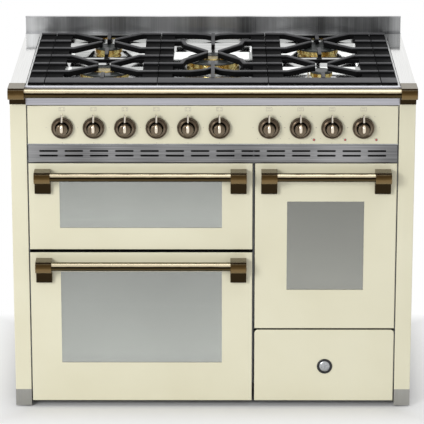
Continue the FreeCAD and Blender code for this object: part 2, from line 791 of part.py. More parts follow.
def oven_cavity(name, oven):
    """Enamelled cavity: front frame, box, shelf rails and the two hinge receivers."""
    made = body(name + "Cavity")
    t = S.sheet
    x0, z0, x1, z1 = oven.inside
    pad(made, FRONT, oven_front, 2, rect(*oven.frame))
    pad(made, FRONT, oven_front + 2, oven_depth - 2, rect(x0 - t, z0 - t, x1 + t, z1 + t))
    pocket(made, FRONT, oven_front, oven_depth - t, rect(x0, z0, x1, z1))
    rails = []
    for height in oven.shelves:
        low = z0 + height
        rails.append(rect(x0 - t / 2, low, x0 + S.shelf_rail, low + 3))
        rails.append(rect(x1 - S.shelf_rail, low, x1 + t / 2, low + 3))
    pad(made, FRONT, oven_front + 24, oven_depth - 50, *rails)
    if name == "Lower":
        pocket(made, FRONT, oven_back - 2 * t, 3 * t, disc((x0 + x1) / 2, (z0 + z1) / 2, S.fan_shaft + 4))
    hinge = S.hinge_depth
    ear = [
        (hinge - 7, -7), (hinge + 7, -7), (oven_front + 1, 18), (oven_front + 1, 40),
        (oven_front - 8, 40), (hinge - 7, 7),
    ]
    shape = polygon([(depth, oven.pivot + height) for depth, height in ear])
    for x in (oven.x0 + 11, oven.x1 - 17):
        pad(made, SIDE, x, 6, shape)
        pocket(made, SIDE, x, 6, disc(hinge, oven.pivot, S.hinge_pin + S.hinge_play))
    return made


def door_panel(name, oven):
    """Enamelled front of a door: folded edges, the window and a shallow lower edge."""
    made = folded_panel(name + "Panel", oven.x0, oven.z0, oven.x1, oven.z1, S.skin, S.panel_depth)
    pocket(made, FRONT, 0, S.skin, rect(*oven.window))
    t = S.skin
    lower_edge = rect(oven.x0 + t, oven.z0, oven.x1 - t, oven.z0 + t)
    pocket(made, FRONT, S.hinge_depth, S.panel_depth - S.hinge_depth, lower_edge)
    return made


def door_liner(name, oven):
    """Inner tray of a door, with the hinge lugs and pins at its lower corners."""
    made = body(name + "Liner")
    t = S.skin
    x0, x1 = oven.x0 + 1, oven.x1 - 1
    z0, z1 = oven.pivot + 12, oven.z1 - 1
    start = S.panel_depth
    pad(made, FRONT, start, S.liner_depth, rect(x0, z0, x1, z1))
    pocket(made, FRONT, start, S.liner_depth - t, rect(x0 + t, z0 + t, x1 - t, z1 - t))
    pocket(made, FRONT, start + S.liner_depth - t, t, rect(*oven.window))
    for low, high in ((oven.x0 + 10, oven.x0 + 18), (oven.x1 - 18, oven.x1 - 10)):
        pocket(made, FRONT, start, S.liner_depth, rect(low, z0, high, oven.pivot + 44))
    lug_length = start + S.liner_depth - S.hinge_depth + 6
    for low, high in ((oven.x0 + 4, oven.x0 + 9.5), (oven.x1 - 9.5, oven.x1 - 4)):
        pad(made, FRONT, S.hinge_depth - 6, lug_length, rect(low, oven.pivot - 6, high, z0 + t))
    for x in (oven.x0 + 9.5, oven.x1 - 18):
        pad(made, SIDE, x, 8.5, disc(S.hinge_depth, oven.pivot, S.hinge_pin))
    return made


def door_glass(name, oven):
    """Outer pane behind the door's skin and inner pane in front of the liner's."""
    x0, z0, x1, z1 = oven.window
    lap = S.glass_lap
    inner_depth = S.panel_depth + S.liner_depth - S.skin
    panes = [
        block(name + "Pane", (x0 - lap, x1 + lap), (depth, depth + S.glass), (z0 - lap, z1 + lap))
        for depth in (S.skin, inner_depth - S.glass)
    ]
    return group(name + "Glass", panes)


def wire_shelf(name, oven, height):
    """Flat wire shelf that rests on its two rails."""
    x0, z0, x1, _ = oven.inside
    made = body(name + "Shelf", x0 + S.shelf_play, oven_front + 34, z0 + height + 3)
    width = x1 - x0 - 2 * S.shelf_play
    depth = oven_depth - 84
    edge = 6
    bars = 14
    pad(made, TOP, 0, S.shelf_wire, rect(0, 0, width, depth))
    pitch = (width - edge) / bars
    cutter = pocket(made, TOP, 0, S.shelf_wire, rect(edge, edge, pitch, depth - edge))
    row = made.newObject("PartDesign::LinearPattern", "Gaps")
    row.Originals = [cutter]
    row.Direction = (cutter.Profile[0], ["H_Axis"])
    bind(row, "Length", pitch * (bars - 1))
    row.Occurrences = bars
    made.Tip = row
    return made


def heating_element(name, oven):
    """Tube bent to a U under the ceiling, plugged into the back of the cavity."""
    x0, _, x1, z1 = (value.number for value in oven.inside)
    radius = S.element_radius.number
    z = z1 - 18
    back = (oven_back - S.sheet).number + front.number
    nose = back - oven_depth.number + 110
    bend = 40
    left, right = x0 + 60, x1 - 60
    turn = bend * (1 - math.sqrt(0.5))
    path = Part.Wire([
        Part.makeLine(Vector(left, back, z), Vector(left, nose + bend, z)),
        Part.Arc(Vector(left, nose + bend, z), Vector(left + turn, nose + turn, z),
                 Vector(left + bend, nose, z)).toShape(),
        Part.makeLine(Vector(left + bend, nose, z), Vector(right - bend, nose, z)),
        Part.Arc(Vector(right - bend, nose, z), Vector(right - turn, nose + turn, z),
                 Vector(right, nose + bend, z)).toShape(),
        Part.makeLine(Vector(right, nose + bend, z), Vector(right, back, z)),
    ])
    section = Part.Wire(Part.makeCircle(radius, Vector(left, back, z), Vector(0, 1, 0)))
    made = doc.addObject("Part::Feature", name + "Element")
    made.Shape = path.makePipeShell([section], True, False)
    return made


def fan_parts():
    """Fan of the tall left oven, its motor behind the cavity and its slotted cover."""
    oven = OVENS["lower"]
    x = (oven.inside[0] + oven.inside[2]) / 2
    z = (oven.inside[1] + oven.inside[3]) / 2
    back = oven_back - S.sheet
    fan_depth = back - 26
    fan = body("Fan", x, fan_depth, z)
    bore = S.fan_shaft + S.running_play
    pad(fan, FRONT, 14, 1.5, disc(0, 0, S.fan_radius))
    pad(fan, FRONT, 0, 15.5, disc(0, 0, 12))
    blade = pad(fan, FRONT, 2, 13, rect(20, -1, S.fan_radius - 4, 1))
    ring = fan.newObject("PartDesign::PolarPattern", "Blades")
    ring.Originals = [blade]
    ring.Axis = (blade.Profile[0], ["N_Axis"])
    ring.Angle = 360
    ring.Occurrences = 8
    fan.Tip = ring
    pocket(fan, FRONT, -1, 18, disc(0, 0, bore))
    node("oven_fan", fan)
    motor = body("Motor", x, 0, z)
    pad(motor, FRONT, oven_back, 50, disc(0, 0, 36))
    pad(motor, FRONT, fan_depth - 3, oven_back - fan_depth + 3, disc(0, 0, S.fan_shaft))
    pad(motor, FRONT, fan_depth - 5, 4.5, disc(0, 0, 7))
    node("fan_motor", motor)
    cover = body("FanCover", x, back - 34, z)
    wide, tall = S.fan_radius + 30, S.fan_radius + 15
    pad(cover, FRONT, 0, 34, rect(-wide, -tall, wide, tall))
    inside = rect(-wide + S.sheet, -tall + S.sheet, wide - S.sheet, tall - S.sheet)
    pocket(cover, FRONT, S.sheet, 34 - S.sheet, inside)
    grille = pocket(cover, FRONT, 0, S.sheet, slot(0, -48, 80, 5))
    row = cover.newObject("PartDesign::LinearPattern", "Grille")
    row.Originals = [grille]
    row.Direction = (grille.Profile[0], ["V_Axis"])
    row.Length = 96
    row.Occurrences = 9
    cover.Tip = row
    node("fan_cover", cover)


# ---------------------------------------------------------------- drawer

def drawer_front():
    """Folded front with rounded upper corners."""
    x0, x1, z0, z1 = right_edge, door_right, S.door_floor, drawer_top
    t = S.skin
    made = body("DrawerFront")
    pad(made, FRONT, 0, S.panel_depth, rect(x0, z0, x1, z1))
    top = z1.number
    rounded(made, S.corner_round, lambda edge: runs_along(1, edge) and abs(edge.Vertexes[0].Z - top) < 0.001)
    rounded(made, S.skin, lambda edge: at_depth(edge, 0))
    cut = S.corner_round * 0.6
    inside = [
        (x0 + t, z0 + t), (x1 - t, z0 + t), (x1 - t, z1 - t - cut), (x1 - t - cut, z1 - t),
        (x0 + t + cut, z1 - t), (x0 + t, z1 - t - cut),
    ]
    pocket(made, FRONT, t, S.panel_depth - t, polygon(inside))
    return made


def drawer_box():
    """Open box with a front plate and a rail along each side."""
    x0, x1 = right_edge, door_right
    t = S.drawer_wall
    left, right = x0 + S.drawer_side, x1 - S.drawer_side
    start = S.panel_depth
    made = body("DrawerBox")
    plate_top = drawer_top - S.corner_round
    pad(made, FRONT, start, t, rect(x0 + 1, S.door_floor + 1, x1 - 1, plate_top))
    height = drawer_top - S.drawer_rim - S.drawer_low
    pad(made, TOP, S.drawer_low, height, rect(left, start, right, drawer_end))
    pocket(made, TOP, S.drawer_low + t, height - t, rect(left + t, start + t, right - t, drawer_end - t))
    low = S.runner_low + t + S.runner_play
    high = S.runner_low + S.runner_height - t - S.runner_play
    left_tip = divider[1] + t + 2
    right_tip = wall_x - t - 2
    pad(made, FRONT, start + 2, drawer_end - start - 10,
        rect(left_tip, low, left + t / 2, high), rect(right - t / 2, low, right_tip, high))
    return made


def runner(name, x0, x1, hollow):
    """Channel, open towards the drawer."""
    t = S.drawer_wall
    near, far = 60, rear_in - 16
    high = S.runner_low + S.runner_height
    outer = block(name, (x0, x1), (near, far), (S.runner_low, high))
    room = block(name + "Room", hollow, (near - 1, far + 1), (S.runner_low + t, high - t))
    return without(name + "Channel", outer, room)


def drawer_runners():
    t = S.drawer_wall
    left, right = divider[1], wall_x
    return group("Runners", [
        runner("LeftRunner", left, left + S.runner_width, (left + t, left + S.runner_width + 1)),
        runner("RightRunner", right - S.runner_width, right, (right - S.runner_width - 1, right - t)),
    ])


# ---------------------------------------------------------------- controls

GAS_COUNT = 6
OVEN_COUNT = 4
knob_run = door_right - door_left - 2 * S.knob_margin - S.group_gap
knob_pitch = knob_run / (GAS_COUNT + OVEN_COUNT - 2)
GAS_KNOBS = [door_left + S.knob_margin + knob_pitch * i for i in range(GAS_COUNT)]
OVEN_KNOBS = [GAS_KNOBS[-1] + S.group_gap + knob_pitch * i for i in range(OVEN_COUNT)]
plunger_start = S.sheet + 4
plunger_length = size(16)
switch_front = size(S.sheet)


def knob(name, x, nose):
    """Turned knob: stepped skirt, grip with a raised ridge, pointer and shaft."""
    made = body(name, x, 0, knob_height)
    back = -S.knob_lift
    face = back - S.knob_reach
    r, hub = S.knob_radius, S.hub_radius
    turned(made, TOP, [
        (0, back), (r, back), (r, back - 4), (r - 2, back - 6), (r - 4, back - 7),
        (r - 5, back - 11), (r - 8, back - 12), (hub + 2, back - 13), (hub, back - 16),
        (hub, face + 4), (hub - 3, face + 1), (0, face),
    ])
    half_width = S.pointer_width / 2
    pad(made, FRONT, back - 18, 14, rect(-half_width, hub - 2, half_width, S.pointer_reach))
    tip = 3
    rounded(made, tip - 0.2, lambda edge: runs_along(1, edge)
            and abs(edge.Vertexes[0].Z - S.pointer_reach.number) < 0.001)
    pad(made, FRONT, face - 2, 5, rect(-half_width, -hub + 3, half_width, hub - 3))
    shaft_end = plunger_start - 0.2 if nose else switch_front + 18
    pad(made, FRONT, back - 1, shaft_end - back + 1, disc(0, 0, S.shaft_radius))
    if nose:
        bore = S.plunger_nose + S.running_play
        pocket(made, FRONT, shaft_end - 9, 9.5, disc(0, 0, bore))
    return made


def plunger(name, x):
    """Sprung plunger inside a gas valve; its nose carries the knob's shaft."""
    made = body(name, x, 0, knob_height)
    pad(made, FRONT, plunger_start, plunger_length, disc(0, 0, S.plunger_radius))
    pad(made, FRONT, plunger_start - 8, 9, disc(0, 0, S.plunger_nose))
    return made


def gas_manifold():
    """Manifold pipe under six valves, with the inlet pipe that leaves through the back panel."""
    valve_depth = 60
    pipe_depth = 44
    end = GAS_KNOBS[-1] + 30
    pipe = rod("Pipe", "X", inlet_x, pipe_depth, inlet_z, S.manifold_radius, end - inlet_x)
    thread_start = rear_in - 4
    thread_end = S.body_depth - 2
    feed = rod("Feed", "Y", inlet_x, pipe_depth, inlet_z, S.inlet_radius - 1.5, thread_start - pipe_depth)
    thread = rod("Thread", "Y", inlet_x, thread_start, inlet_z, S.inlet_radius, thread_end - thread_start)
    valves = []
    for x in GAS_KNOBS:
        valve = body("Valve", x, 0, knob_height)
        pad(valve, FRONT, S.sheet, 12, disc(0, 0, S.plunger_radius + 4))
        pad(valve, FRONT, S.sheet + 12, valve_depth - 14, rect(-14, -24, 14, 16))
        room = plunger_start + plunger_length + S.push_travel + 1 - S.sheet
        pocket(valve, FRONT, S.sheet, room, disc(0, 0, S.plunger_radius + S.running_play))
        valves.append(valve)
    return fused("GasManifold", [pipe, feed, thread, *valves])


def oven_switch(x):
    """Rotary switch or thermostat behind the panel."""
    made = body("Switch", x, 0, knob_height)
    pad(made, FRONT, switch_front, 12, disc(0, 0, 10))
    pad(made, FRONT, switch_front + 12, 34, rect(-20, -22, 20, 22))
    pocket(made, FRONT, switch_front, 22, disc(0, 0, S.shaft_radius + S.running_play))
    return made


# ---------------------------------------------------------------- hob

BURNERS = [
    (-burner_x, rear_burner, S.medium_radius, False),
    (-burner_x, front_burner, S.dual_radius, True),
    (size(0), middle_burner, S.wok_radius, True),
    (burner_x, rear_burner, S.large_radius, False),
    (burner_x, front_burner, S.small_radius, False),
]


def flame_ports(crown, radius, low, height):
    """Ring of radial slots through the wall of a crown."""
    wide, deep = 1.6, 6
    ports = int(radius.number * 0.6) // 2 * 2
    cutter = pocket(crown, TOP, low, height, rect(radius - deep, -wide / 2, radius + 1, wide / 2))
    ring = crown.newObject("PartDesign::PolarPattern", "Ports")
    ring.Originals = [cutter]
    ring.Axis = (cutter.Profile[0], ["N_Axis"])
    ring.Angle = 360
    ring.Occurrences = ports
    crown.Tip = ring


def burner_body(x, depth, radius, double):
    """Brass burner: mixing tube, base and one or two crowns with their flame ports."""
    made = body("Burner", x, depth)
    top = crown_top
    seat = burner_seat
    tube = S.burner_throat
    profile = [
        (0, seat - 32), (tube - 4, seat - 32), (tube, seat - 26), (tube, seat), (radius - 2, seat),
        (radius - 2, seat + 2), (radius - 4, seat + 4), (radius - 4, top - 11), (radius, top - 9),
    ]
    if double:
        inside = S.inner_crown
        profile += [
            (radius, top), (inside + 8, top), (inside + 8, top - 10), (inside, top - 10),
            (inside, top + 4), (inside - 3, top + 6), (0, top + 7),
        ]
    else:
        profile += [(radius, top), (0, top)]
    turned(made, FRONT, profile)
    flame_ports(made, radius, top - 5, 5)
    if double:
        flame_ports(made, S.inner_crown, top - 4, 4)
    return made


def burner_cap(x, depth, radius, double):
    """Enamelled cap, or a ring where the burner has an inner crown."""
    made = body("Cap", x, depth)
    top = crown_top
    edge = radius - 1.5
    if double:
        inside = S.inner_crown + 9
        profile = [
            (inside, top), (edge, top), (edge, top + 3), (edge - 3, top + 5), (inside + 3, top + 6),
            (inside, top + 4),
        ]
    else:
        profile = [(0, top), (edge, top), (edge, top + 3), (edge - 4, top + 6), (0, top + 7)]
    turned(made, FRONT, profile)
    return made


# ---------------------------------------------------------------- pan supports

def rib(points, low, high):
    """Rib of constant width along a line of x, depth points; a bent one has round ends."""
    side = S.rib_width.number / 2
    line = [Vector(x, front.number + depth, low) for x, depth in points]
    if len(line) == 2:
        step = (line[1] - line[0]).normalize() * side
        across = Vector(-step.y, step.x, 0)
        corners = [line[0] + across, line[1] + across, line[1] - across, line[0] - across]
        outline = Part.Face(Part.makePolygon(corners, True))
    else:
        outline = Part.makePolygon(line).makeOffset2D(side, 0, True, False)
    return outline.extrude(Vector(0, 0, high - low))


def slab(x0, depth0, x1, depth1, low, high):
    corner = Vector(min(x0, x1), front.number + depth0, low)
    return Part.makeBox(abs(x1 - x0), depth1 - depth0, high - low, corner)


def casting(plates, window, ribs, fingers, low_bars, feet):
    """Cast-iron pan support: flat webs round a window, ribs, bent arms, low bars and feet."""
    top = grate_top.number
    web_top = top - S.grate_rib.number
    web_low = web_top - S.grate_plate.number
    solid = slab(*plates, web_low, web_top).cut(slab(*window, web_low - 1, web_top + 1))
    pieces = [rib(points, web_low + 1, top) for points in ribs]
    pieces += [rib(points, web_low - 3, top) for points in fingers]
    pieces += [rib(points, web_low - 3, web_top) for points in low_bars]
    x0, depth0, x1, depth1 = plates
    front_web = slab(x0, depth0, x1, depth0 + S.ledge.number, web_low, top - 2)
    low = land.number
    legs = [
        Part.makeCylinder(S.grate_foot.number, web_low + 1 - low, Vector(x, front.number + depth, low))
        for x, depth in feet
    ]
    solid = solid.multiFuse([front_web, *pieces, *legs])
    solid = solid.common(slab(x0, depth0, x1, depth1, low, top))
    return solid


def rib_depths():
    """Six evenly spaced ribs; the last lies along the rear edge."""
    first = S.rib_first.number
    last = grate_far.number - S.rib_width.number / 2
    return [first + (last - first) * i / 5 for i in range(6)]


def side_casting(name, sign):
    """Side pan support over a front and a rear burner."""
    inner_x = grate_inner.number
    outer_x = grate_outer.number
    win_in, win_out = side_window[0].number, side_window[1].number
    groove = (grate_outer - S.groove_in).number
    depths = rib_depths()
    end = grate_far.number
    centre = burner_x.number
    gap = S.arm_gap.number
    half_rib = S.rib_width.number / 2
    shoulder = S.arm_shoulder.number

    def mirrored(points):
        return [(sign * x, depth) for x, depth in points]

    ribs = []
    for depth in depths:
        ribs.append(mirrored([(inner_x, depth), (win_in, depth)]))
        ribs.append(mirrored([(win_out, depth), (outer_x, depth)]))
    arms = []
    burners = ((front_burner.number, depths[0], depths[2]), (rear_burner.number, depths[3], depths[5]))
    for burner, near, far in burners:
        for side, edge in ((-1, win_in), (1, win_out)):
            start = edge - side * shoulder
            tip = centre + side * gap
            arms.append(mirrored([(edge, near), (start, near), (tip, burner - gap)]))
            arms.append(mirrored([(edge, far), (start, far), (tip, burner + gap * 0.6)]))
    # a low bar behind the front burner carries the finger that reaches the rear one
    bar = front_burner.number + S.dual_radius.number + S.bar_gap.number
    step = bar + S.finger_step.number
    arms.append(mirrored([(centre, grate_near.number + S.ledge.number - 4),
                          (centre, front_burner.number - S.front_finger.number)]))
    arms.append(mirrored([(centre, step), (centre, rear_burner.number - S.rear_finger.number)]))
    arms.append(mirrored([(centre, rear_burner.number + gap * 0.6), (centre, end - half_rib)]))
    low_bars = [
        mirrored([(win_in, bar), (win_out, bar)]),
        mirrored([(centre, bar), (centre, step + half_rib)]),
    ]
    plates = (sign * inner_x, grate_near.number, sign * outer_x, end)
    window = (sign * win_in, grate_near.number + S.ledge.number, sign * win_out, end - half_rib * 2)
    foot_inset = S.grate_foot.number + 3
    feet = [
        (sign * x, depth)
        for x in (inner_x + foot_inset, outer_x - foot_inset)
        for depth in (grate_near.number + foot_inset, end - foot_inset)
    ]
    solid = casting(plates, window, ribs, arms, low_bars, feet)
    slit = slab(sign * (groove - S.groove_width.number / 2), grate_near.number - 1,
                sign * (groove + S.groove_width.number / 2), end + 1,
                grate_top.number - S.grate_rib.number - S.groove_depth.number, grate_top.number + 1)
    made = doc.addObject("Part::Feature", name)
    made.Shape = solid.cut(slit).removeSplitter()
    return made


def middle_casting(name):
    """Middle pan support over the wok burner."""
    edge = S.grate_seam.number - S.grate_play.number
    win = middle_window.number
    depths = rib_depths()
    end = grate_far.number
    half_rib = S.rib_width.number / 2
    burner = middle_burner.number
    tip = 17
    ribs = [[(sign * win, depth), (sign * edge, depth)] for sign in (-1, 1) for depth in depths]
    arms = []
    for sign in (-1, 1):
        for near, away in ((depths[1], -1), (depths[4], 1)):
            joggle = near - away * 42
            arms.append([(sign * win, near), (sign * 80, near), (sign * 72, joggle),
                         (sign * tip, burner + away * 10)])
        arms.append([(sign * win, depths[0]), (sign * 55, depths[0]), (sign * 22, depths[0] + 14),
                     (0, depths[0] + 42)])
        arms.append([(sign * win, end - half_rib), (sign * 45, end - half_rib),
                     (sign * 16, end - half_rib - 10), (0, end - half_rib - 28)])
    arms.append([(0, grate_near.number + S.ledge.number - 4), (0, burner - 117)])
    arms.append([(0, burner + 84), (0, end - half_rib)])
    plates = (-edge, grate_near.number, edge, end)
    window = (-win, grate_near.number + S.ledge.number, win, end - half_rib * 2)
    foot_inset = S.grate_foot.number + 3
    feet = [
        (sign * (edge - foot_inset), depth)
        for sign in (-1, 1)
        for depth in (grate_near.number + foot_inset, end - foot_inset)
    ]
    made = doc.addObject("Part::Feature", name)
    made.Shape = casting(plates, window, ribs, arms, [], feet).removeSplitter()
    return made


# ---------------------------------------------------------------- assembly

node("side_panels", group("SidePanels", [side_panel(-1), side_panel(1)]))
node("side_cappings", group("Cappings", [capping_strip(-1), capping_strip(1)]))
node("feet", group("Feet", [foot(sign, rear) for sign in (-1, 1) for rear in (False, True)]))
node("cabinet_frame", cabinet_frame())
node("back_panel", back_panel())
node("hob_top", hob_top())
node("rear_upstand", upstand())
node("control_panel", control_panel())
node("vent_strip", vent_strip())
handrail()

shelves = []
elements = []
for which, oven in OVENS.items():
    title = which.capitalize()
    node(f"{which}_oven_cavity", oven_cavity(title, oven))
    node(f"{which}_door_panel", door_panel(title, oven))
    node(f"{which}_door_glass", door_glass(title, oven))
    node(f"{which}_door_liner", door_liner(title, oven))
    handle(title, f"{which}_door", oven)
    shelves += [wire_shelf(title, oven, height) for height in oven.shelves]
    elements.append(heating_element(title, oven))
node("oven_shelves", group("Shelves", shelves))
node("heating_elements", group("Elements", elements))
fan_parts()

node("drawer_front", drawer_front())
node("drawer_box", drawer_box())
node("drawer_runners", drawer_runners())

for number, x in enumerate(GAS_KNOBS, start=1):
    node(f"gas_knob_{number}", knob(f"GasKnob{number}", x, True))
    node(f"valve_plunger_{number}", plunger(f"Plunger{number}", x))
for number, x in enumerate(OVEN_KNOBS, start=1):
    node(f"oven_knob_{number}", knob(f"OvenKnob{number}", x, False))
node("gas_manifold", gas_manifold())
node("oven_switches", group("Switches", [oven_switch(x) for x in OVEN_KNOBS]))

node("burner_bodies", group("Burners", [burner_body(*burner) for burner in BURNERS]))
node("burner_caps", group("Caps", [burner_cap(*burner) for burner in BURNERS]))
node("left_pan_support", side_casting("LeftPanSupport", -1))
node("middle_pan_support", middle_casting("MiddlePanSupport"))
node("right_pan_support", side_casting("RightPanSupport", 1))

# ---------------------------------------------------------------- checks and files

doc.recompute()
for obj in doc.Objects:
    faults = {"Invalid", "Error"} & set(obj.State)
    if faults:
        raise RuntimeError(f"{obj.Name} of {obj.Label} failed: {obj.State}")
for obj in doc.findObjects("PartDesign::Pocket"):
    before, after = obj.BaseFeature.Shape.Volume, obj.Shape.Volume
    if after >= before - 0.001:
        raise RuntimeError(f"{obj.Name} removes nothing")

os.makedirs("parts", exist_ok=True)
for obj in nodes:
    shape = obj.Shape
    if shape.isNull() or not shape.isValid() or not shape.Solids:
        raise RuntimeError(f"{obj.Label} has no valid solid")
    shape.exportStep(f"parts/{obj.Label}.step")
print(len(nodes), "sub-parts written")
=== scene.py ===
import json
import math

import bmesh
import bpy
from mathutils import Matrix, Vector

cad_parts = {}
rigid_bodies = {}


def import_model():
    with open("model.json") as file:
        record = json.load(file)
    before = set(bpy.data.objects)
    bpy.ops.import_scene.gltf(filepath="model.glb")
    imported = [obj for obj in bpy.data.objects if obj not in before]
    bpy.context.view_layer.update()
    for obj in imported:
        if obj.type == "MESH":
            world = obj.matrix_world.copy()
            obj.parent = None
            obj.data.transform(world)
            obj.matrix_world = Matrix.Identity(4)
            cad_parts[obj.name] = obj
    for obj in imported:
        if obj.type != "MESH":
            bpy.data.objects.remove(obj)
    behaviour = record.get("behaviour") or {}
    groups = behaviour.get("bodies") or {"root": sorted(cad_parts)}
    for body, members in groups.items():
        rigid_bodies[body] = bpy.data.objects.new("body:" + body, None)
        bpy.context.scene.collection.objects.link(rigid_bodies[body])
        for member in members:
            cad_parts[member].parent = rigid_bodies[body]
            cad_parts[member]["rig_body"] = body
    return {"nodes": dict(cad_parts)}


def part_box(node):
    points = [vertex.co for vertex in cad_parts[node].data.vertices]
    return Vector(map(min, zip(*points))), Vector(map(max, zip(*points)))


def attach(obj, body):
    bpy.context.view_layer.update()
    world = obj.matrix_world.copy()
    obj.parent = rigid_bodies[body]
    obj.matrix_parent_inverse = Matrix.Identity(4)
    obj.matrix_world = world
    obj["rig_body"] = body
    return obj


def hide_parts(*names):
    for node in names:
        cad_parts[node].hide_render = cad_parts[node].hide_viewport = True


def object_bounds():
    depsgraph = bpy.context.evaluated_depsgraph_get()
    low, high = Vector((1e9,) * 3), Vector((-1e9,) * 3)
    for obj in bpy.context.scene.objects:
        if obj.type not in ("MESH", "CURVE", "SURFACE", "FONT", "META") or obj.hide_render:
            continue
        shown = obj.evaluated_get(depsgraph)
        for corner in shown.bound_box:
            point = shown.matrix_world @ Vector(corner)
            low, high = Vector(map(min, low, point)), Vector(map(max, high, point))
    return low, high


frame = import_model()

nodes = frame["nodes"]
cad_box = [list(corner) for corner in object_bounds()]

# ---------------------------------------------------------------- studio
# A pale floor that glows away from the cooker, so only a soft shadow shows, and a white surround.
# One broad lamp stands at the upper left and a weak one hangs overhead. The camera stands well
# back and looks down on the hob, as in the photograph.

FRONT_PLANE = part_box("control_panel")[0].y
CAMERA_X = 0.0108
CAMERA_DISTANCE = 6.349
CAMERA_HEIGHT = 2.378
CAMERA_PITCH = 0.2853
CAMERA_YAW = 0.002
SENSOR = 36.0
FOCAL_LENGTH = 225.6

camera_data = bpy.data.cameras.new("camera")
camera_data.sensor_width = SENSOR
camera_data.lens = FOCAL_LENGTH
camera_data.clip_end = 100
camera = bpy.data.objects.new("camera", camera_data)
camera.location = (CAMERA_X, FRONT_PLANE - CAMERA_DISTANCE, CAMERA_HEIGHT)
camera.rotation_euler = (math.pi / 2 - CAMERA_PITCH, 0, CAMERA_YAW)
bpy.context.scene.collection.objects.link(camera)
bpy.context.scene.camera = camera
bpy.context.scene.view_settings.view_transform = "Standard"


def plug(socket, value):
    """Links a node's socket, or sets it to a plain value; None leaves it as it is."""
    if isinstance(value, bpy.types.NodeSocket):
        socket.id_data.links.new(value, socket)
    elif value is not None:
        socket.default_value = value


def feed(node, **named):
    """Plugs sockets of a node by name; a name's spaces are written as underscores."""
    for key, value in named.items():
        plug(node.inputs[key.replace("_", " ")], value)


def add_node(tree, kind, *plugs, setup=None, **named):
    """New node whose first sockets take plugs in order, and the others by name."""
    made = tree.nodes.new(kind)
    for key, value in (setup or {}).items():
        setattr(made, key, value)
    for socket, value in zip(made.inputs, plugs):
        plug(socket, value)
    feed(made, **named)
    return made


def calc(tree, operation, *values):
    """Result of one sum or comparison."""
    return add_node(tree, "ShaderNodeMath", *values, setup={"operation": operation}).outputs[0]


def own(tree, axis):
    """X, Y or Z of a shaded point, in the piece's own metres."""
    place = add_node(tree, "ShaderNodeTexCoord").outputs["Object"]
    return add_node(tree, "ShaderNodeSeparateXYZ", place).outputs[axis]


def seen_directly(tree):
    """1 for rays from the camera or off a gloss or glass surface, and 0 for the rest."""
    path = add_node(tree, "ShaderNodeLightPath").outputs
    mirrored = calc(tree, "MAXIMUM", path["Is Camera Ray"], path["Is Glossy Ray"])
    return calc(tree, "MAXIMUM", mirrored, path["Is Transmission Ray"])


WHITE = (1, 1, 1, 1)
SURROUND_LIGHT = 0.5
world = bpy.data.worlds.new("surround")
world.use_nodes = True
bpy.context.scene.world = world
sky = world.node_tree
sky.nodes.clear()
dim_sky = add_node(sky, "ShaderNodeBackground", WHITE, SURROUND_LIGHT).outputs[0]
seen_sky = add_node(sky, "ShaderNodeBackground", WHITE, 1.0).outputs[0]
either_sky = add_node(sky, "ShaderNodeMixShader", seen_directly(sky), dim_sky, seen_sky)
add_node(sky, "ShaderNodeOutputWorld", either_sky.outputs[0])

FLOOR_REACH = 14.0
FLOOR_GREY = 0.86
GLOW_NEAR = 0.0
GLOW_FAR = 1.0
SHADOW_START = -0.03
SHADOW_REACH = 0.14
floor_finish = bpy.data.materials.new("floor_white")
floor_finish.use_nodes = True
tree = floor_finish.node_tree
tree.nodes.clear()
matt_floor = add_node(tree, "ShaderNodeBsdfDiffuse", (FLOOR_GREY, FLOOR_GREY, FLOOR_GREY, 1)).outputs[0]
glow = add_node(tree, "ShaderNodeEmission", WHITE, 1.0).outputs[0]
beside = calc(tree, "SUBTRACT", calc(tree, "ABSOLUTE", own(tree, "X")), cad_box[1][0])
before = calc(tree, "SUBTRACT", calc(tree, "ABSOLUTE", own(tree, "Y")), cad_box[1][1])
apart = calc(tree, "MAXIMUM", beside, before)
fade = add_node(tree, "ShaderNodeMapRange", apart, SHADOW_START, SHADOW_REACH, GLOW_NEAR, GLOW_FAR)
glow_share = calc(tree, "MULTIPLY", seen_directly(tree), fade.outputs[0])
floor_surface = add_node(tree, "ShaderNodeMixShader", glow_share, matt_floor, glow)
add_node(tree, "ShaderNodeOutputMaterial", floor_surface.outputs[0])
floor_mesh = bpy.data.meshes.new("floor")
floor_mesh.from_pydata(
    [(-FLOOR_REACH, -FLOOR_REACH, 0), (FLOOR_REACH, -FLOOR_REACH, 0),
     (FLOOR_REACH, FLOOR_REACH, 0), (-FLOOR_REACH, FLOOR_REACH, 0)], [], [(0, 1, 2, 3)])
floor_mesh.materials.append(floor_finish)
floor = bpy.data.objects.new("floor", floor_mesh)
bpy.context.scene.collection.objects.link(floor)

LAMP_TARGET = Vector((0, 0, 0.45))
LAMPS = [
    # name, place, side of the square, watts
    ("key", (-2.7, -4.2, 2.3), 1.5, 118),
    ("top", (0.4, -0.6, 3.6), 2.4, 26),
]
for name, place, side, watts in LAMPS:
    lamp_data = bpy.data.lights.new(name, "AREA")
    lamp_data.shape = "SQUARE"
    lamp_data.size = side
    lamp_data.energy = watts
    lamp = bpy.data.objects.new(name, lamp_data)
    lamp.location = place
    lamp.rotation_euler = (LAMP_TARGET - Vector(place)).to_track_quat("-Z", "Y").to_euler()
    bpy.context.scene.collection.objects.link(lamp)

# ---------------------------------------------------------------- side panels
# Two columns folded from enamelled sheet, cream like the doors. The enamel is a hard glossy glass
# with a faint orange-peel surface, and it pools a little paler and darker over a hand's breadth.


def new_finish(name):
    """Material with one Principled shader; returns the material, its tree and the shader."""
    made = bpy.data.materials.new(name)
    made.use_nodes = True
    tree = made.node_tree
    tree.nodes.clear()
    shader = add_node(tree, "ShaderNodeBsdfPrincipled")
    add_node(tree, "ShaderNodeOutputMaterial", shader.outputs[0])
    return made, tree, shader


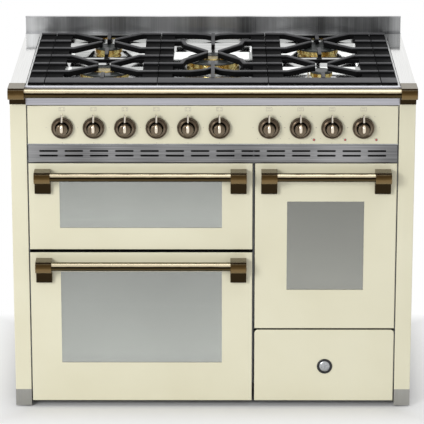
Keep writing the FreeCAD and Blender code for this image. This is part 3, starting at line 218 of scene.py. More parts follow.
def noise(tree, scale, stretch=(1, 1, 1), detail=3.0):
    """Noise on the object's own coordinates, stretched along each axis."""
    place = add_node(tree, "ShaderNodeTexCoord").outputs["Object"]
    stretched = add_node(tree, "ShaderNodeMapping", place, Scale=stretch).outputs[0]
    return add_node(tree, "ShaderNodeTexNoise", Vector=stretched, Scale=scale, Detail=detail).outputs[0]


def ramp(tree, factor, low, high, start=0.0, end=1.0):
    """Colour that runs from low to high as factor goes from start to end."""
    made = add_node(tree, "ShaderNodeValToRGB", factor)
    first, last = made.color_ramp.elements
    first.position, last.position = start, end
    first.color, last.color = low, high
    return made.outputs[0]


def span(tree, factor, low, high, start=0.0, end=1.0):
    """Number that runs from low to high as factor goes from start to end."""
    return add_node(tree, "ShaderNodeMapRange", factor, start, end, low, high).outputs[0]


def mix(tree, share, first, second):
    """Colour that goes from the first to the second as share goes from 0 to 1."""
    made = add_node(tree, "ShaderNodeMix", share, None, None, None, None, None, first, second,
                    setup={"data_type": "RGBA"})
    return made.outputs[2]


def bump(tree, shader, height, distance, strength):
    """Fine relief on a shader's normal; height is a pattern and distance its depth in metres."""
    made = add_node(tree, "ShaderNodeBump", Height=height, Distance=distance, Strength=strength)
    feed(shader, Normal=made.outputs[0])


def paint(finish, *names):
    """Gives CAD nodes their finish."""
    for name in names:
        for holder in nodes[name].material_slots:
            holder.material = finish


def tone(red, green, blue):
    """Linear colour from the 0-255 values that a picture shows."""
    parts = [value / 255 for value in (red, green, blue)]
    linear = [p / 12.92 if p <= 0.04045 else ((p + 0.055) / 1.055) ** 2.4 for p in parts]
    return (*linear, 1)


MM = 0.001
CREAM_PALE = tone(231, 227, 201)
CREAM_DEEP = tone(224, 219, 191)
# painted shade for the gaps between the cream fronts
CREAM_PAINTED_SHADE = tone(38, 38, 36)


def cream_enamel(name, face=None):
    """Glossy cream enamel; where face is given, the piece is painted dark as shade wherever it lies deeper
    than face behind the front plane.
    """
    made, tree, shader = new_finish(name)
    colour = ramp(tree, noise(tree, 4.0), CREAM_DEEP, CREAM_PALE, 0.3, 0.7)
    if face is not None:
        # painted shade: behind the front face the cream turns near-black, so the gaps between fronts read
        # black
        deeper = calc(tree, "GREATER_THAN", own(tree, "Y"), FRONT_PLANE + face)
        colour = mix(tree, deeper, colour, CREAM_PAINTED_SHADE)
    feed(shader, Base_Color=colour, Roughness=span(tree, noise(tree, 30.0), 0.12, 0.2),
         Coat_Weight=0.35, Coat_Roughness=0.06)
    bump(tree, shader, noise(tree, 160.0), 0.2 * MM, 0.25)
    return made


cream = cream_enamel("cream_enamel")
paint(cream, "side_panels")

# ---------------------------------------------------------------- cappings
# A polished stainless strip lies on top of each side panel and hides its raw edge.
# It is nearly a mirror, with a faint grain along its length.

GRAIN_SHADE = 0.86


def steel(name, colour, rough, grain, stretch, depth=0.04 * MM):
    """Stainless steel; grain is the scale of its fine lines, stretch their way and depth their relief."""
    made, tree, shader = new_finish(name)
    lines = noise(tree, grain, stretch, 5.0)
    cloud = noise(tree, 3.0)
    dark = tuple(part * GRAIN_SHADE for part in colour[:3]) + (1,)
    feed(shader, Base_Color=ramp(tree, lines, dark, colour, 0.25, 0.75),
         Roughness=span(tree, calc(tree, "ADD", lines, cloud), *rough, 0.6, 1.4), Metallic=1.0)
    bump(tree, shader, lines, depth, 0.5)
    return made


ALONG_X = (0.012, 1, 1)
ALONG_Y = (1, 0.012, 1)
ALONG_Z = (1, 1, 0.012)
polished = steel("polished_steel", tone(240, 240, 238), (0.05, 0.12), 500.0, ALONG_Y, 0.01 * MM)
paint(polished, "side_cappings")

# ---------------------------------------------------------------- feet
# Four square sleeves folded from satin steel, with the grain up and down. They slide over the legs,
# which stand on round levelling pads.

satin = steel("satin_steel", tone(172, 171, 166), (0.3, 0.42), 700.0, ALONG_Z)
paint(satin, "feet")

# ---------------------------------------------------------------- frame and back
# The welded frame, the back sheet and the parts behind the fronts are zinc-plated sheet, dull and
# slightly spangled, because nobody sees them once the cooker stands against its wall. Pan-head
# screws hold the back sheet to the frame.

zinc, tree, shader = new_finish("zinc_sheet")
place = add_node(tree, "ShaderNodeTexCoord").outputs["Object"]
spangle = add_node(tree, "ShaderNodeTexVoronoi", Vector=place, Scale=110.0).outputs["Color"]
grey = add_node(tree, "ShaderNodeSeparateColor", spangle).outputs[0]
feed(shader, Base_Color=ramp(tree, grey, tone(170, 173, 176), tone(186, 189, 191)),
     Roughness=span(tree, grey, 0.44, 0.52), Metallic=0.85)
bump(tree, shader, noise(tree, 90.0), 0.1 * MM, 0.2)
paint(zinc, "cabinet_frame", "back_panel", "drawer_runners", "drawer_box", "fan_motor", "oven_switches")

HEAD_SIDES = 12
CROWN_RISE = 0.5 * MM
CROWN_SHARE = 0.72
SOCKET_SHARE = 0.55
SOCKET_DEPTH = 1.0 * MM


def new_grower(name, **inputs):
    """Geometry Nodes tree with one geometry input, one output and named inputs after it."""
    tree = bpy.data.node_groups.new(name, "GeometryNodeTree")
    tree.interface.new_socket("Geometry", in_out="OUTPUT", socket_type="NodeSocketGeometry")
    tree.interface.new_socket("Geometry", in_out="INPUT", socket_type="NodeSocketGeometry")
    for key, kind in inputs.items():
        tree.interface.new_socket(key, in_out="INPUT", socket_type="NodeSocket" + kind)
    source = tree.nodes.new("NodeGroupInput").outputs
    return tree, source


def finish_grower(tree, geometry, finish):
    """Ends a tree in Realize Instances and Set Material."""
    real = add_node(tree, "GeometryNodeRealizeInstances", geometry)
    dressed = add_node(tree, "GeometryNodeSetMaterial", real.outputs[0], Material=finish)
    add_node(tree, "NodeGroupOutput", dressed.outputs[0])


def grown(name, tree, points, **sizes):
    """Plain mesh that a tree grows on a mesh of points."""
    mesh = bpy.data.meshes.new(name)
    mesh.from_pydata(points, [], [])
    piece = bpy.data.objects.new(name, mesh)
    bpy.context.scene.collection.objects.link(piece)
    grower = piece.modifiers.new("grow", "NODES")
    grower.node_group = tree
    for socket in tree.interface.items_tree:
        if socket.in_out == "INPUT" and socket.name in sizes:
            grower[socket.identifier] = sizes[socket.name]
    bpy.context.view_layer.update()
    evaluated = piece.evaluated_get(bpy.context.evaluated_depsgraph_get())
    plain = bpy.data.meshes.new_from_object(evaluated)
    piece.modifiers.clear()
    piece.data = plain
    return piece


def screw_tree(finish):
    """Round-headed screws, each with a socket in its head, that point along a turn."""
    tree, source = new_grower("screws", Radius="Float", Height="Float", Turn="Rotation")
    disc = add_node(tree, "GeometryNodeMeshCircle", setup={"fill_type": "NGON"}, Vertices=HEAD_SIDES,
                    Radius=source["Radius"])
    wall = add_node(tree, "GeometryNodeExtrudeMesh", disc.outputs[0], Offset_Scale=source["Height"])
    crown = add_node(tree, "GeometryNodeExtrudeMesh", wall.outputs[0], wall.outputs["Top"],
                     Offset_Scale=CROWN_RISE)
    round_top = add_node(tree, "GeometryNodeScaleElements", crown.outputs[0], crown.outputs["Top"],
                         CROWN_SHARE)
    inset = add_node(tree, "GeometryNodeExtrudeMesh", round_top.outputs[0], crown.outputs["Top"],
                     Offset_Scale=0.0)
    rim = add_node(tree, "GeometryNodeScaleElements", inset.outputs[0], inset.outputs["Top"],
                   SOCKET_SHARE)
    socket = add_node(tree, "GeometryNodeExtrudeMesh", rim.outputs[0], inset.outputs["Top"],
                      Offset_Scale=-SOCKET_DEPTH)
    placed = add_node(tree, "GeometryNodeInstanceOnPoints", source["Geometry"],
                      Instance=socket.outputs[0], Rotation=source["Turn"])
    finish_grower(tree, placed.outputs[0], finish)
    return tree


screw_steel, tree, shader = new_finish("screw_steel")
feed(shader, Base_Color=ramp(tree, noise(tree, 300.0), tone(150, 152, 154), tone(186, 188, 190), 0.3, 0.7),
     Roughness=span(tree, noise(tree, 500.0), 0.25, 0.4), Metallic=1.0)
screws = screw_tree(screw_steel)
frame_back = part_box("cabinet_frame")[1].y
BACK_SCREW_COLUMNS = (-448, -224, 0, 224, 448)
BACK_SCREW_ROWS = (70, 420, 770)
BACK_SHEET = 1 * MM
SCREW_RADIUS = 3.8 * MM
SCREW_HEAD = 1.2 * MM
back_screws = grown(
    "back_panel_screws", screws,
    [(x * MM, frame_back + BACK_SHEET, z * MM) for x in BACK_SCREW_COLUMNS for z in BACK_SCREW_ROWS],
    Radius=SCREW_RADIUS, Height=SCREW_HEAD, Turn=(-math.pi / 2, 0, 0))
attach(back_screws, "cooker")

# ---------------------------------------------------------------- ovens
# Three cavities of black vitreous enamel with pale flecks, and the doors' liners in the same enamel.
# The elements are heat-stained steel; the fan and its cover are bright.

enamel, tree, shader = new_finish("oven_enamel")
fleck = noise(tree, 900.0, detail=1.0)
feed(shader, Base_Color=ramp(tree, fleck, tone(38, 39, 42), tone(120, 122, 126), 0.66, 0.74),
     Roughness=0.22)
bump(tree, shader, noise(tree, 120.0), 0.2 * MM, 0.2)
DOORS = ("upper", "lower", "right")
for door in DOORS:
    paint(enamel, f"{door}_oven_cavity", f"{door}_door_liner")

element_steel, tree, shader = new_finish("element_steel")
heat = noise(tree, 12.0)
feed(shader, Base_Color=ramp(tree, heat, tone(78, 70, 66), tone(120, 112, 104), 0.3, 0.7), Roughness=0.45,
     Metallic=0.8)
paint(element_steel, "heating_elements")
bright_steel = steel("wire_steel", tone(200, 202, 204), (0.15, 0.25), 300.0, ALONG_X, 0.01 * MM)
paint(bright_steel, "oven_shelves", "fan_cover", "oven_fan")

# ---------------------------------------------------------------- wire shelves
# Six racks welded from bright steel wire: a rim with round corners, two cross wires underneath and
# fourteen bars that run from front to back. They lie on the rails of the oven sides.

WIRE_SIDES = 8
RACK_CORNER = 14 * MM
CORNER_POINTS = 5
CROSS_WIRES = 2
CROSS_DROP = 3.2 * MM
CROSS_SPREAD = 0.5
BAR_SPREAD = 0.93


def rack_tree(finish):
    """One rack on each point, made of round wires."""
    tree, source = new_grower("wire_racks", Width="Float", Depth="Float", Bars="Int", Rim="Float",
                              Wire="Float")
    thin, thick = (
        add_node(tree, "GeometryNodeCurvePrimitiveCircle", Resolution=WIRE_SIDES, Radius=source[key])
        for key in ("Wire", "Rim"))
    outline = add_node(tree, "GeometryNodeCurvePrimitiveQuadrilateral", Width=source["Width"],
                       Height=source["Depth"])
    corners = add_node(tree, "GeometryNodeFilletCurve", outline.outputs[0], setup={"mode": "POLY"},
                       Count=CORNER_POINTS, Radius=RACK_CORNER)
    parts = [add_node(tree, "GeometryNodeCurveToMesh", corners.outputs[0], Profile_Curve=thick.outputs[0])]
    half_deep = calc(tree, "MULTIPLY", source["Depth"], 0.5)
    half_wide = calc(tree, "MULTIPLY", source["Width"], 0.5)
    rows = (
        # number of the axis that the wires are spread along, half their length, half the rack along
        # that axis, how many, how high, and the share of the rack that they cover
        (0, half_deep, half_wide, source["Bars"], 0.0, BAR_SPREAD),
        (1, half_wide, half_deep, CROSS_WIRES, -CROSS_DROP, CROSS_SPREAD),
    )
    for across, half_long, half_rack, count, height, share in rows:
        ends, limits = [], []
        for sign in (-1.0, 1.0):
            end = add_node(tree, "ShaderNodeCombineXYZ")
            plug(end.inputs[1 - across], calc(tree, "MULTIPLY", half_long, sign))
            ends.append(end.outputs[0])
            limit = add_node(tree, "ShaderNodeCombineXYZ", Z=height)
            plug(limit.inputs[across], calc(tree, "MULTIPLY", half_rack, sign * share))
            limits.append(limit.outputs[0])
        wire = add_node(tree, "GeometryNodeCurvePrimitiveLine", *ends)
        row = add_node(tree, "GeometryNodeMeshLine", count, Start_Location=limits[0], Offset=limits[1],
                       setup={"mode": "END_POINTS"})
        spread = add_node(tree, "GeometryNodeInstanceOnPoints", row.outputs[0], Instance=wire.outputs[0])
        loose = add_node(tree, "GeometryNodeRealizeInstances", spread.outputs[0])
        parts.append(add_node(tree, "GeometryNodeCurveToMesh", loose.outputs[0],
                              Profile_Curve=thin.outputs[0], Fill_Caps=True))
    rack = add_node(tree, "GeometryNodeJoinGeometry")
    for part in parts:
        plug(rack.inputs[0], part.outputs[0])
    shaded = add_node(tree, "GeometryNodeSetShadeSmooth", rack.outputs[0])
    placed = add_node(tree, "GeometryNodeInstanceOnPoints", source["Geometry"], Instance=shaded.outputs[0])
    finish_grower(tree, placed.outputs[0], finish)
    return tree


racks = rack_tree(bright_steel)
SHELF_DEPTH = 340
SHELF_MIDDLE = 250
SHELF_BARS = 14
SHELF_PLAY = 6
RIM_RADIUS = 2.6 * MM
WIRE_RADIUS = 1.7 * MM
SHELF_SETS = [
    # centre and width along X, heights
    (-179, 450, (545, 168.5, 241.5, 314.5)),
    (281, 246, (381.8, 500.2)),
]
shelf_parts = []
for centre, width, heights in SHELF_SETS:
    spots = [(centre * MM, FRONT_PLANE + SHELF_MIDDLE * MM, z * MM) for z in heights]
    shelf_parts.append(grown(
        "racks", racks, spots, Width=(width - SHELF_PLAY) * MM, Depth=(SHELF_DEPTH - SHELF_PLAY) * MM,
        Bars=SHELF_BARS, Rim=RIM_RADIUS, Wire=WIRE_RADIUS))
shape = bmesh.new()
for part in shelf_parts:
    shape.from_mesh(part.data)
    bpy.data.objects.remove(part)
shelf_mesh = bpy.data.meshes.new("oven_shelves_finished")
shape.to_mesh(shelf_mesh)
shape.free()
shelf_mesh.materials.append(bright_steel)
shelves = bpy.data.objects.new("oven_shelves_finished", shelf_mesh)
bpy.context.scene.collection.objects.link(shelves)
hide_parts("oven_shelves")
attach(shelves, "cooker")

# ---------------------------------------------------------------- door seals
# A loop of black woven cord round each oven mouth, clipped to the cavity's front frame.
# The closed door's liner presses it slightly.

BACKWARD = Vector((0, 1, 0))
CORD_SIDES = 10
CORNER_STEPS = 6
CREASE = 35


def closed_tube(shape, path, radius):
    """Adds a tube round a closed flat path that lies in a plane of constant Y."""
    count = len(path)
    turns = [2 * math.pi * k / CORD_SIDES for k in range(CORD_SIDES)]
    rings = []
    for i, point in enumerate(path):
        ahead = (path[(i + 1) % count] - path[i - 1]).normalized()
        across = Vector((ahead.z, 0, -ahead.x))
        rings.append([
            shape.verts.new(point + radius * (math.cos(turn) * across + math.sin(turn) * BACKWARD))
            for turn in turns
        ])
    for i in range(count):
        lower, upper = rings[i], rings[(i + 1) % count]
        for k in range(CORD_SIDES):
            n = (k + 1) % CORD_SIDES
            shape.faces.new((lower[k], lower[n], upper[n], upper[k]))


def round_corners(x0, z0, x1, z1, radius, depth):
    """Points of a rectangle with round corners, depth behind the front plane; sizes are in mm."""
    points = []
    for cx, cz, start in ((x1 - radius, z1 - radius, 0), (x0 + radius, z1 - radius, 1),
                          (x0 + radius, z0 + radius, 2), (x1 - radius, z0 + radius, 3)):
        for step in range(CORNER_STEPS + 1):
            turn = math.pi / 2 * (start + step / CORNER_STEPS)
            points.append(Vector(((cx + radius * math.cos(turn)) * MM, FRONT_PLANE + depth * MM,
                                  (cz + radius * math.sin(turn)) * MM)))
    return points


def piece_from(shape, name, body, slot, *finishes):
    """Closes a mesh that the script built face by face into a piece that rides on a body."""
    bmesh.ops.recalc_face_normals(shape, faces=shape.faces)
    for face in shape.faces:
        face.smooth = True
    mesh = bpy.data.meshes.new(name)
    shape.to_mesh(mesh)
    shape.free()
    mesh.set_sharp_from_angle(angle=math.radians(CREASE))
    for finish in finishes:
        mesh.materials.append(finish)
    piece = bpy.data.objects.new(name, mesh)
    bpy.context.scene.collection.objects.link(piece)
    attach(piece, body)
    return piece


seal_cord, tree, shader = new_finish("seal_cord")
weave = noise(tree, 1400.0, detail=2.0)
feed(shader, Base_Color=ramp(tree, weave, tone(22, 22, 23), tone(52, 52, 54), 0.35, 0.65), Roughness=0.85)
bump(tree, shader, weave, 0.6 * MM, 0.6)
OVEN_MOUTHS = {
    # left, bottom, right and top of each oven's inside
    "upper": (-407, 466, 49, 613), "lower": (-407, 90, 49, 382), "right": (155, 258, 407, 613),
}
SEAL_OUTSIDE = 6
SEAL_CORNER = 14
SEAL_DEPTH = 43.2
SEAL_RADIUS = 2.8 * MM
for door, (x0, z0, x1, z1) in OVEN_MOUTHS.items():
    shape = bmesh.new()
    loop = round_corners(x0 - SEAL_OUTSIDE, z0 - SEAL_OUTSIDE, x1 + SEAL_OUTSIDE, z1 + SEAL_OUTSIDE,
                         SEAL_CORNER, SEAL_DEPTH)
    closed_tube(shape, loop, SEAL_RADIUS)
    piece_from(shape, f"{door}_door_seal", "cooker", "oven_enamel", seal_cord)

# ---------------------------------------------------------------- gas
# Turned brass burners on a brass manifold. Their sides carry a painted highlight, bright gold along the
# flutes, and their faces that look up are a duller, darker brass. The caps are dark vitreous enamel,
# apart from the bare brass one in the middle of each double burner.

brass, tree, shader = new_finish("brass")
flutes = noise(tree, 70.0, (1, 1, 0.02), 0.0)
facing = add_node(tree, "ShaderNodeTexCoord").outputs["Normal"]
upward = add_node(tree, "ShaderNodeSeparateXYZ", facing).outputs["Z"]
on_top = span(tree, upward, 0.0, 1.0, 0.3, 0.9)
# painted highlight on the sides, bright gold along the flutes; faces that look up are duller and darker
bright = ramp(tree, flutes, tone(176, 132, 52), tone(255, 234, 156), 0.4, 0.6)
dull = ramp(tree, noise(tree, 60.0), tone(136, 120, 68), tone(166, 148, 92), 0.3, 0.7)
feed(shader, Base_Color=mix(tree, on_top, bright, dull),
     Roughness=span(tree, noise(tree, 200.0), 0.2, 0.34), Metallic=0.75)
paint(brass, "gas_manifold", "burner_bodies", *[f"valve_plunger_{number}" for number in range(1, 7)])

cap_enamel, tree, shader = new_finish("burner_enamel")
feed(shader, Base_Color=ramp(tree, noise(tree, 60.0), tone(38, 41, 40), tone(56, 60, 58), 0.3, 0.7),
     Roughness=0.3)
bump(tree, shader, noise(tree, 700.0), 0.1 * MM, 0.3)
paint(cap_enamel, "burner_caps")

# ---------------------------------------------------------------- igniters
# A white ceramic spark plug with a steel tip stands beside each burner. It is pushed up through the
# burner's pad and clipped underneath.

ceramic, tree, shader = new_finish("igniter_ceramic")
feed(shader, Base_Color=ramp(tree, noise(tree, 120.0), tone(226, 222, 212), tone(240, 238, 232), 0.3, 0.7),
     Roughness=0.25)


def turned(shape, profile, place, finish, steps=64):
    """Adds the solid turned from a profile of (radius, rise) pairs about place's Z axis.

    finish is one material's index, or one for each stretch of the profile.
    """
    rings = []
    for radius, rise in profile:
        count = steps if radius > 0 else 1
        angles = [2 * math.pi * i / steps for i in range(count)]
        rings.append([
            shape.verts.new(place @ Vector((radius * math.cos(a), radius * math.sin(a), rise)))
            for a in angles
        ])
    for level, (lower, upper) in enumerate(zip(rings, rings[1:])):
        for i in range(steps):
            j = (i + 1) % steps
            around = [ring[k % len(ring)] for ring, k in ((lower, i), (lower, j), (upper, j), (upper, i))]
            face = shape.faces.new(list(dict.fromkeys(around)))
            face.material_index = finish if isinstance(finish, int) else finish[level]


BURNERS = [
    # centre along X, depth, crown radius, direction of the igniter in degrees
    (-274.5, 486, 35, 150), (-274.5, 213, 63, 48), (0, 349.5, 70, 140),
    (274.5, 486, 54, 140), (274.5, 213, 28, 170),
]
PAD_HEIGHT = 804
IGNITER_SIDE = 5.4
CERAMIC_STEPS = 16
TIP_STEPS = 8
# radius and height above the pad
CERAMIC_PROFILE = [(0, 0), (3.4, 0), (3.4, 5), (2.6, 6), (2.6, 15), (2.2, 15.8), (0, 15.8)]
TIP_PROFILE = [(0, 15.8), (0.9, 15.8), (0.9, 19.4), (0.5, 20), (0, 20)]
shape = bmesh.new()
for x, depth, radius, aim in BURNERS:
    out = (radius + IGNITER_SIDE) * MM
    turn = math.radians(aim)
    foot = Matrix.Translation((
        x * MM + out * math.cos(turn), FRONT_PLANE + depth * MM + out * math.sin(turn), PAD_HEIGHT * MM))
    turned(shape, [(r * MM, h * MM) for r, h in CERAMIC_PROFILE], foot, 0, CERAMIC_STEPS)
    turned(shape, [(r * MM, h * MM) for r, h in TIP_PROFILE], foot, 1, TIP_STEPS)
piece_from(shape, "igniters", "cooker", "burner_enamel", ceramic, screw_steel)

# ---------------------------------------------------------------- hob top
# One pressed sheet of stainless steel. Its pan is polished, so it mirrors the pan supports, and the
# brushed front edge and rims scatter the light along X. The front edge's face is painted a darker
# grey as a painted reflection.

PAN_START = 2 * MM
PAN_FRONT = 6 * MM
LIP_FACE = 3.5 * MM
hob, tree, shader = new_finish("hob_steel")
rim_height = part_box("hob_top")[1].z
sunk = calc(tree, "LESS_THAN", own(tree, "Z"), rim_height - PAN_START)
inside_pan = calc(tree, "GREATER_THAN", own(tree, "Y"), FRONT_PLANE + PAN_FRONT)
in_pan = calc(tree, "MULTIPLY", sunk, inside_pan)
on_lip = calc(tree, "LESS_THAN", own(tree, "Y"), FRONT_PLANE + LIP_FACE)
lines = noise(tree, 600.0, ALONG_X, 5.0)
plate = ramp(tree, lines, tone(196, 197, 196), tone(222, 223, 222), 0.3, 0.7)
# painted reflection: the front edge's face is painted a darker grey
lip_painted_dark = ramp(tree, lines, tone(166, 166, 172), tone(190, 190, 196), 0.3, 0.7)
brushed = span(tree, lines, 0.26, 0.36)
polish = span(tree, noise(tree, 14.0), 0.06, 0.13)
rough = add_node(tree, "ShaderNodeMix", in_pan, None, brushed, polish).outputs[0]
feed(shader, Base_Color=mix(tree, on_lip, plate, lip_painted_dark), Roughness=rough, Metallic=1.0)
bump(tree, shader, noise(tree, 9.0), 0.6 * MM, 0.12)
paint(hob, "hob_top")

# ---------------------------------------------------------------- upstand
# The rear upstand is a folded strip of satin steel with a coarse grain up and down. Broad vertical
# bands of dark and light are painted into its colour as a painted reflection, over the fine grain.

upstand, tree, shader = new_finish("upstand_steel")
# painted reflection: broad vertical bands of light and dark in the steel's colour
reflection_bands = noise(tree, 9.0, (1, 1, 0.02), 3.0)
fine = noise(tree, 420.0, ALONG_Z, 4.0)
grain_and_reflection = calc(tree, "ADD", span(tree, reflection_bands, 0.0, 0.85), span(tree, fine, 0.0, 0.15))
feed(shader, Base_Color=ramp(tree, grain_and_reflection, tone(84, 85, 86), tone(196, 197, 198), 0.36, 0.64),
     Roughness=span(tree, fine, 0.24, 0.38), Metallic=1.0)
bump(tree, shader, fine, 0.1 * MM, 0.4)
paint(upstand, "rear_upstand")

# ---------------------------------------------------------------- pan supports
# Cast iron under matt enamel, sandy to the touch. The tops of its ribs are paler, partly as wear and partly
# as a painted highlight.
# The castings' edges are rounded, as they come out of the sand.

WELD = 0.01 * MM
FLAT = math.radians(0.5)
IRON_EDGE = 0.9 * MM
IRON_SHARP = 30
WORN_LIT_START = 2.8 * MM
WORN_LIT_FULL = 2.2 * MM


def broken_edges(piece, width, sharp):
    """Breaks a piece's edges with a small bevel; sharp is the least angle in degrees."""
    rounding = piece.modifiers.new("edges", "BEVEL")
    rounding.width = width
    rounding.segments = 2
    rounding.limit_method = "ANGLE"
    rounding.angle_limit = math.radians(sharp)
    rounding.harden_normals = True


def softened(node, width):
    """Copy of a CAD node with its edges broken by a small bevel; it stands for the node."""
    source = nodes[node]
    piece = bpy.data.objects.new(node + "_finished", source.data.copy())
    bpy.context.scene.collection.objects.link(piece)
    shape = bmesh.new()
    shape.from_mesh(piece.data)
    bmesh.ops.remove_doubles(shape, verts=shape.verts, dist=WELD)
    bmesh.ops.dissolve_limit(shape, angle_limit=FLAT, verts=shape.verts, edges=shape.edges)
    for face in shape.faces:
        face.smooth = True
    shape.to_mesh(piece.data)
    shape.free()
    broken_edges(piece, width, IRON_SHARP)
    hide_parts(node)
    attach(piece, source["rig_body"])
    return piece


def dress(piece, finish):
    """Gives a finished piece its material."""
    piece.data.materials.clear()
    piece.data.materials.append(finish)


iron, tree, shader = new_finish("cast_iron")
grain = noise(tree, 900.0, detail=6.0)
top_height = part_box("middle_pan_support")[1].z
# painted highlight and wear: the rib tops are paler than the near-black webs
worn_and_lit_tops = span(tree, own(tree, "Z"), 0.0, 1.0, top_height - WORN_LIT_START, top_height - WORN_LIT_FULL)
matt_web = span(tree, grain, 0.8, 0.96)
shiny_top = span(tree, grain, 0.4, 0.5)
rough = add_node(tree, "ShaderNodeMix", worn_and_lit_tops, None, matt_web, shiny_top).outputs[0]
feed(shader, Base_Color=mix(tree, worn_and_lit_tops, tone(10, 10, 11), tone(82, 82, 84)), Roughness=rough,
     Specular_IOR_Level=0.1)
bump(tree, shader, grain, 0.3 * MM, 0.35)
for side in ("left", "middle", "right"):
    dress(softened(side + "_pan_support", IRON_EDGE), iron)

# ---------------------------------------------------------------- control panel
# Cream enamel like the doors, behind the ten knobs. Small generic marks are printed in pale grey:
# a frame with four dots over each gas knob, a frame with two bars over each oven knob, and dots.

paint(cream, "control_panel")

ink, tree, shader = new_finish("mark_ink")
feed(shader, Base_Color=ramp(tree, noise(tree, 500.0), tone(168, 160, 148), tone(184, 176, 162), 0.3, 0.7),
     Roughness=0.35)
INK_THICK = 0.12 * MM
KNOB_PITCH = 77.6
GAS_KNOB_X = [-371.6 + KNOB_PITCH * i for i in range(6)]
OVEN_KNOB_X = [138.8 + KNOB_PITCH * i for i in range(4)]
KNOB_HEIGHT = 733
MARK_HEIGHT = 779.5
MARK_WIDE = 15
MARK_TALL = 9.5
LINE = 0.7
BAR_HALF = 4.5
BAR_RISE = 2


def lofted(shape, rings, finish=0):
    """Adds a closed skin over rings of equally many points, capped at both ends."""
    made = [[shape.verts.new(point) for point in ring] for ring in rings]
    count = len(made[0])
    for lower, upper in zip(made, made[1:]):
        for i in range(count):
            j = (i + 1) % count
            shape.faces.new((lower[i], lower[j], upper[j], upper[i])).material_index = finish
    shape.faces.new(list(reversed(made[0]))).material_index = finish
    shape.faces.new(made[-1]).material_index = finish


def printed(shape, x0, z0, x1, z1):
    """Adds a rectangle of ink on the control panel; sizes are in mm."""
    corners = [(x0, z0), (x1, z0), (x1, z1), (x0, z1)]
    lofted(shape, [
        [Vector((x * MM, FRONT_PLANE - rise, z * MM)) for x, z in corners] for rise in (0, INK_THICK)])


shape = bmesh.new()
for x in GAS_KNOB_X + OVEN_KNOB_X:
    left, right = x - MARK_WIDE / 2, x + MARK_WIDE / 2
    low, high = MARK_HEIGHT - MARK_TALL / 2, MARK_HEIGHT + MARK_TALL / 2
    printed(shape, left, low, right, low + LINE)
    printed(shape, left, high - LINE, right, high)
    printed(shape, left, low + LINE, left + LINE, high - LINE)
    printed(shape, right - LINE, low + LINE, right, high - LINE)
for x in OVEN_KNOB_X:
    for z in (MARK_HEIGHT - BAR_RISE, MARK_HEIGHT + BAR_RISE):
        printed(shape, x - BAR_HALF, z - LINE / 2, x + BAR_HALF, z + LINE / 2)
piece_from(shape, "panel_marks", "cooker", "cream_enamel", ink)

DOT_SIDES = 12
DOT_RADIUS = 1.0 * MM
DOT_RING = 39.5
GAS_STOPS = (-90, -180)
OVEN_STOPS = range(45, 271, 45)
DOTS_HALF = (4, 2.2)


def dot_tree(finish):
    """A thin round dot of ink on each point of the panel."""
    tree, source = new_grower("dots", Radius="Float", Thick="Float", Turn="Rotation")
    disc = add_node(tree, "GeometryNodeMeshCircle", setup={"fill_type": "NGON"}, Vertices=DOT_SIDES,
                    Radius=source["Radius"])
    solid = add_node(tree, "GeometryNodeExtrudeMesh", disc.outputs[0], Offset_Scale=source["Thick"])
    placed = add_node(tree, "GeometryNodeInstanceOnPoints", source["Geometry"],
                      Instance=solid.outputs[0], Rotation=source["Turn"])
    finish_grower(tree, placed.outputs[0], finish)
    return tree


def dots_round(x, turns):
    """Places of the dots round one knob, at clockwise turns in degrees from the top."""
    turns = [math.radians(turn) for turn in turns]
    return [(x + DOT_RING * math.sin(turn), KNOB_HEIGHT + DOT_RING * math.cos(turn)) for turn in turns]


aside, rise = DOTS_HALF
spots = [(x + dx, MARK_HEIGHT + dz) for x in GAS_KNOB_X for dx in (-aside, aside) for dz in (-rise, rise)]
for x in GAS_KNOB_X:
    spots += dots_round(x, GAS_STOPS)
for x in OVEN_KNOB_X:
    spots += dots_round(x, OVEN_STOPS)
dots = grown("panel_dots", dot_tree(ink), [(x * MM, FRONT_PLANE, z * MM) for x, z in spots],
             Radius=DOT_RADIUS, Thick=INK_THICK, Turn=(math.pi / 2, 0, 0))
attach(dots, "cooker")

# ---------------------------------------------------------------- pilot lamps
# Three red neon lamps in thin steel rims, low on the control panel between the oven knobs. Each lens
# is moulded in clear red plastic and pushed through a hole in the panel.

lens, tree, shader = new_finish("lamp_lens")
feed(shader, Base_Color=ramp(tree, noise(tree, 400.0), tone(176, 58, 40), tone(204, 84, 60), 0.3, 0.7),
     Roughness=0.12, Coat_Weight=0.6)
LAMP_X = (250, 327, 404)
LAMP_HEIGHT = 702
LAMP_STEPS = 24
# radius and distance in front of the panel
LENS_PROFILE = [(0, 0.2), (2.6, 0.2), (2.5, 1.4), (1.9, 2.2), (1.0, 2.6), (0, 2.7)]
RIM_PROFILE = [(0, 0), (3.6, 0), (3.6, 0.7), (3.2, 1.1), (2.6, 1.0), (2.6, 0.2), (0, 0.2)]


def facing_front(x, z):
    """Turns a shape's Z axis towards the front, with its foot on the front plane; sizes are in mm."""
    return Matrix.Translation((x * MM, FRONT_PLANE, z * MM)) @ Matrix.Rotation(math.pi / 2, 4, "X")


shape = bmesh.new()
for x in LAMP_X:
    place = facing_front(x, LAMP_HEIGHT)
    turned(shape, [(r * MM, h * MM) for r, h in RIM_PROFILE], place, 1, LAMP_STEPS)
    turned(shape, [(r * MM, h * MM) for r, h in LENS_PROFILE], place, 0, LAMP_STEPS)
piece_from(shape, "pilot_lamps", "cooker", "brushed_steel", lens, screw_steel)

# ---------------------------------------------------------------- knobs
# Ten turned knobs of dark pewter bronze. Each has a stepped skirt, a hub with an upright grip and a
# nickel pointer let into the skirt. Light and shade are painted by which way each face looks: the
# grip's crest carries a painted highlight and the pointer's left side a painted shade.


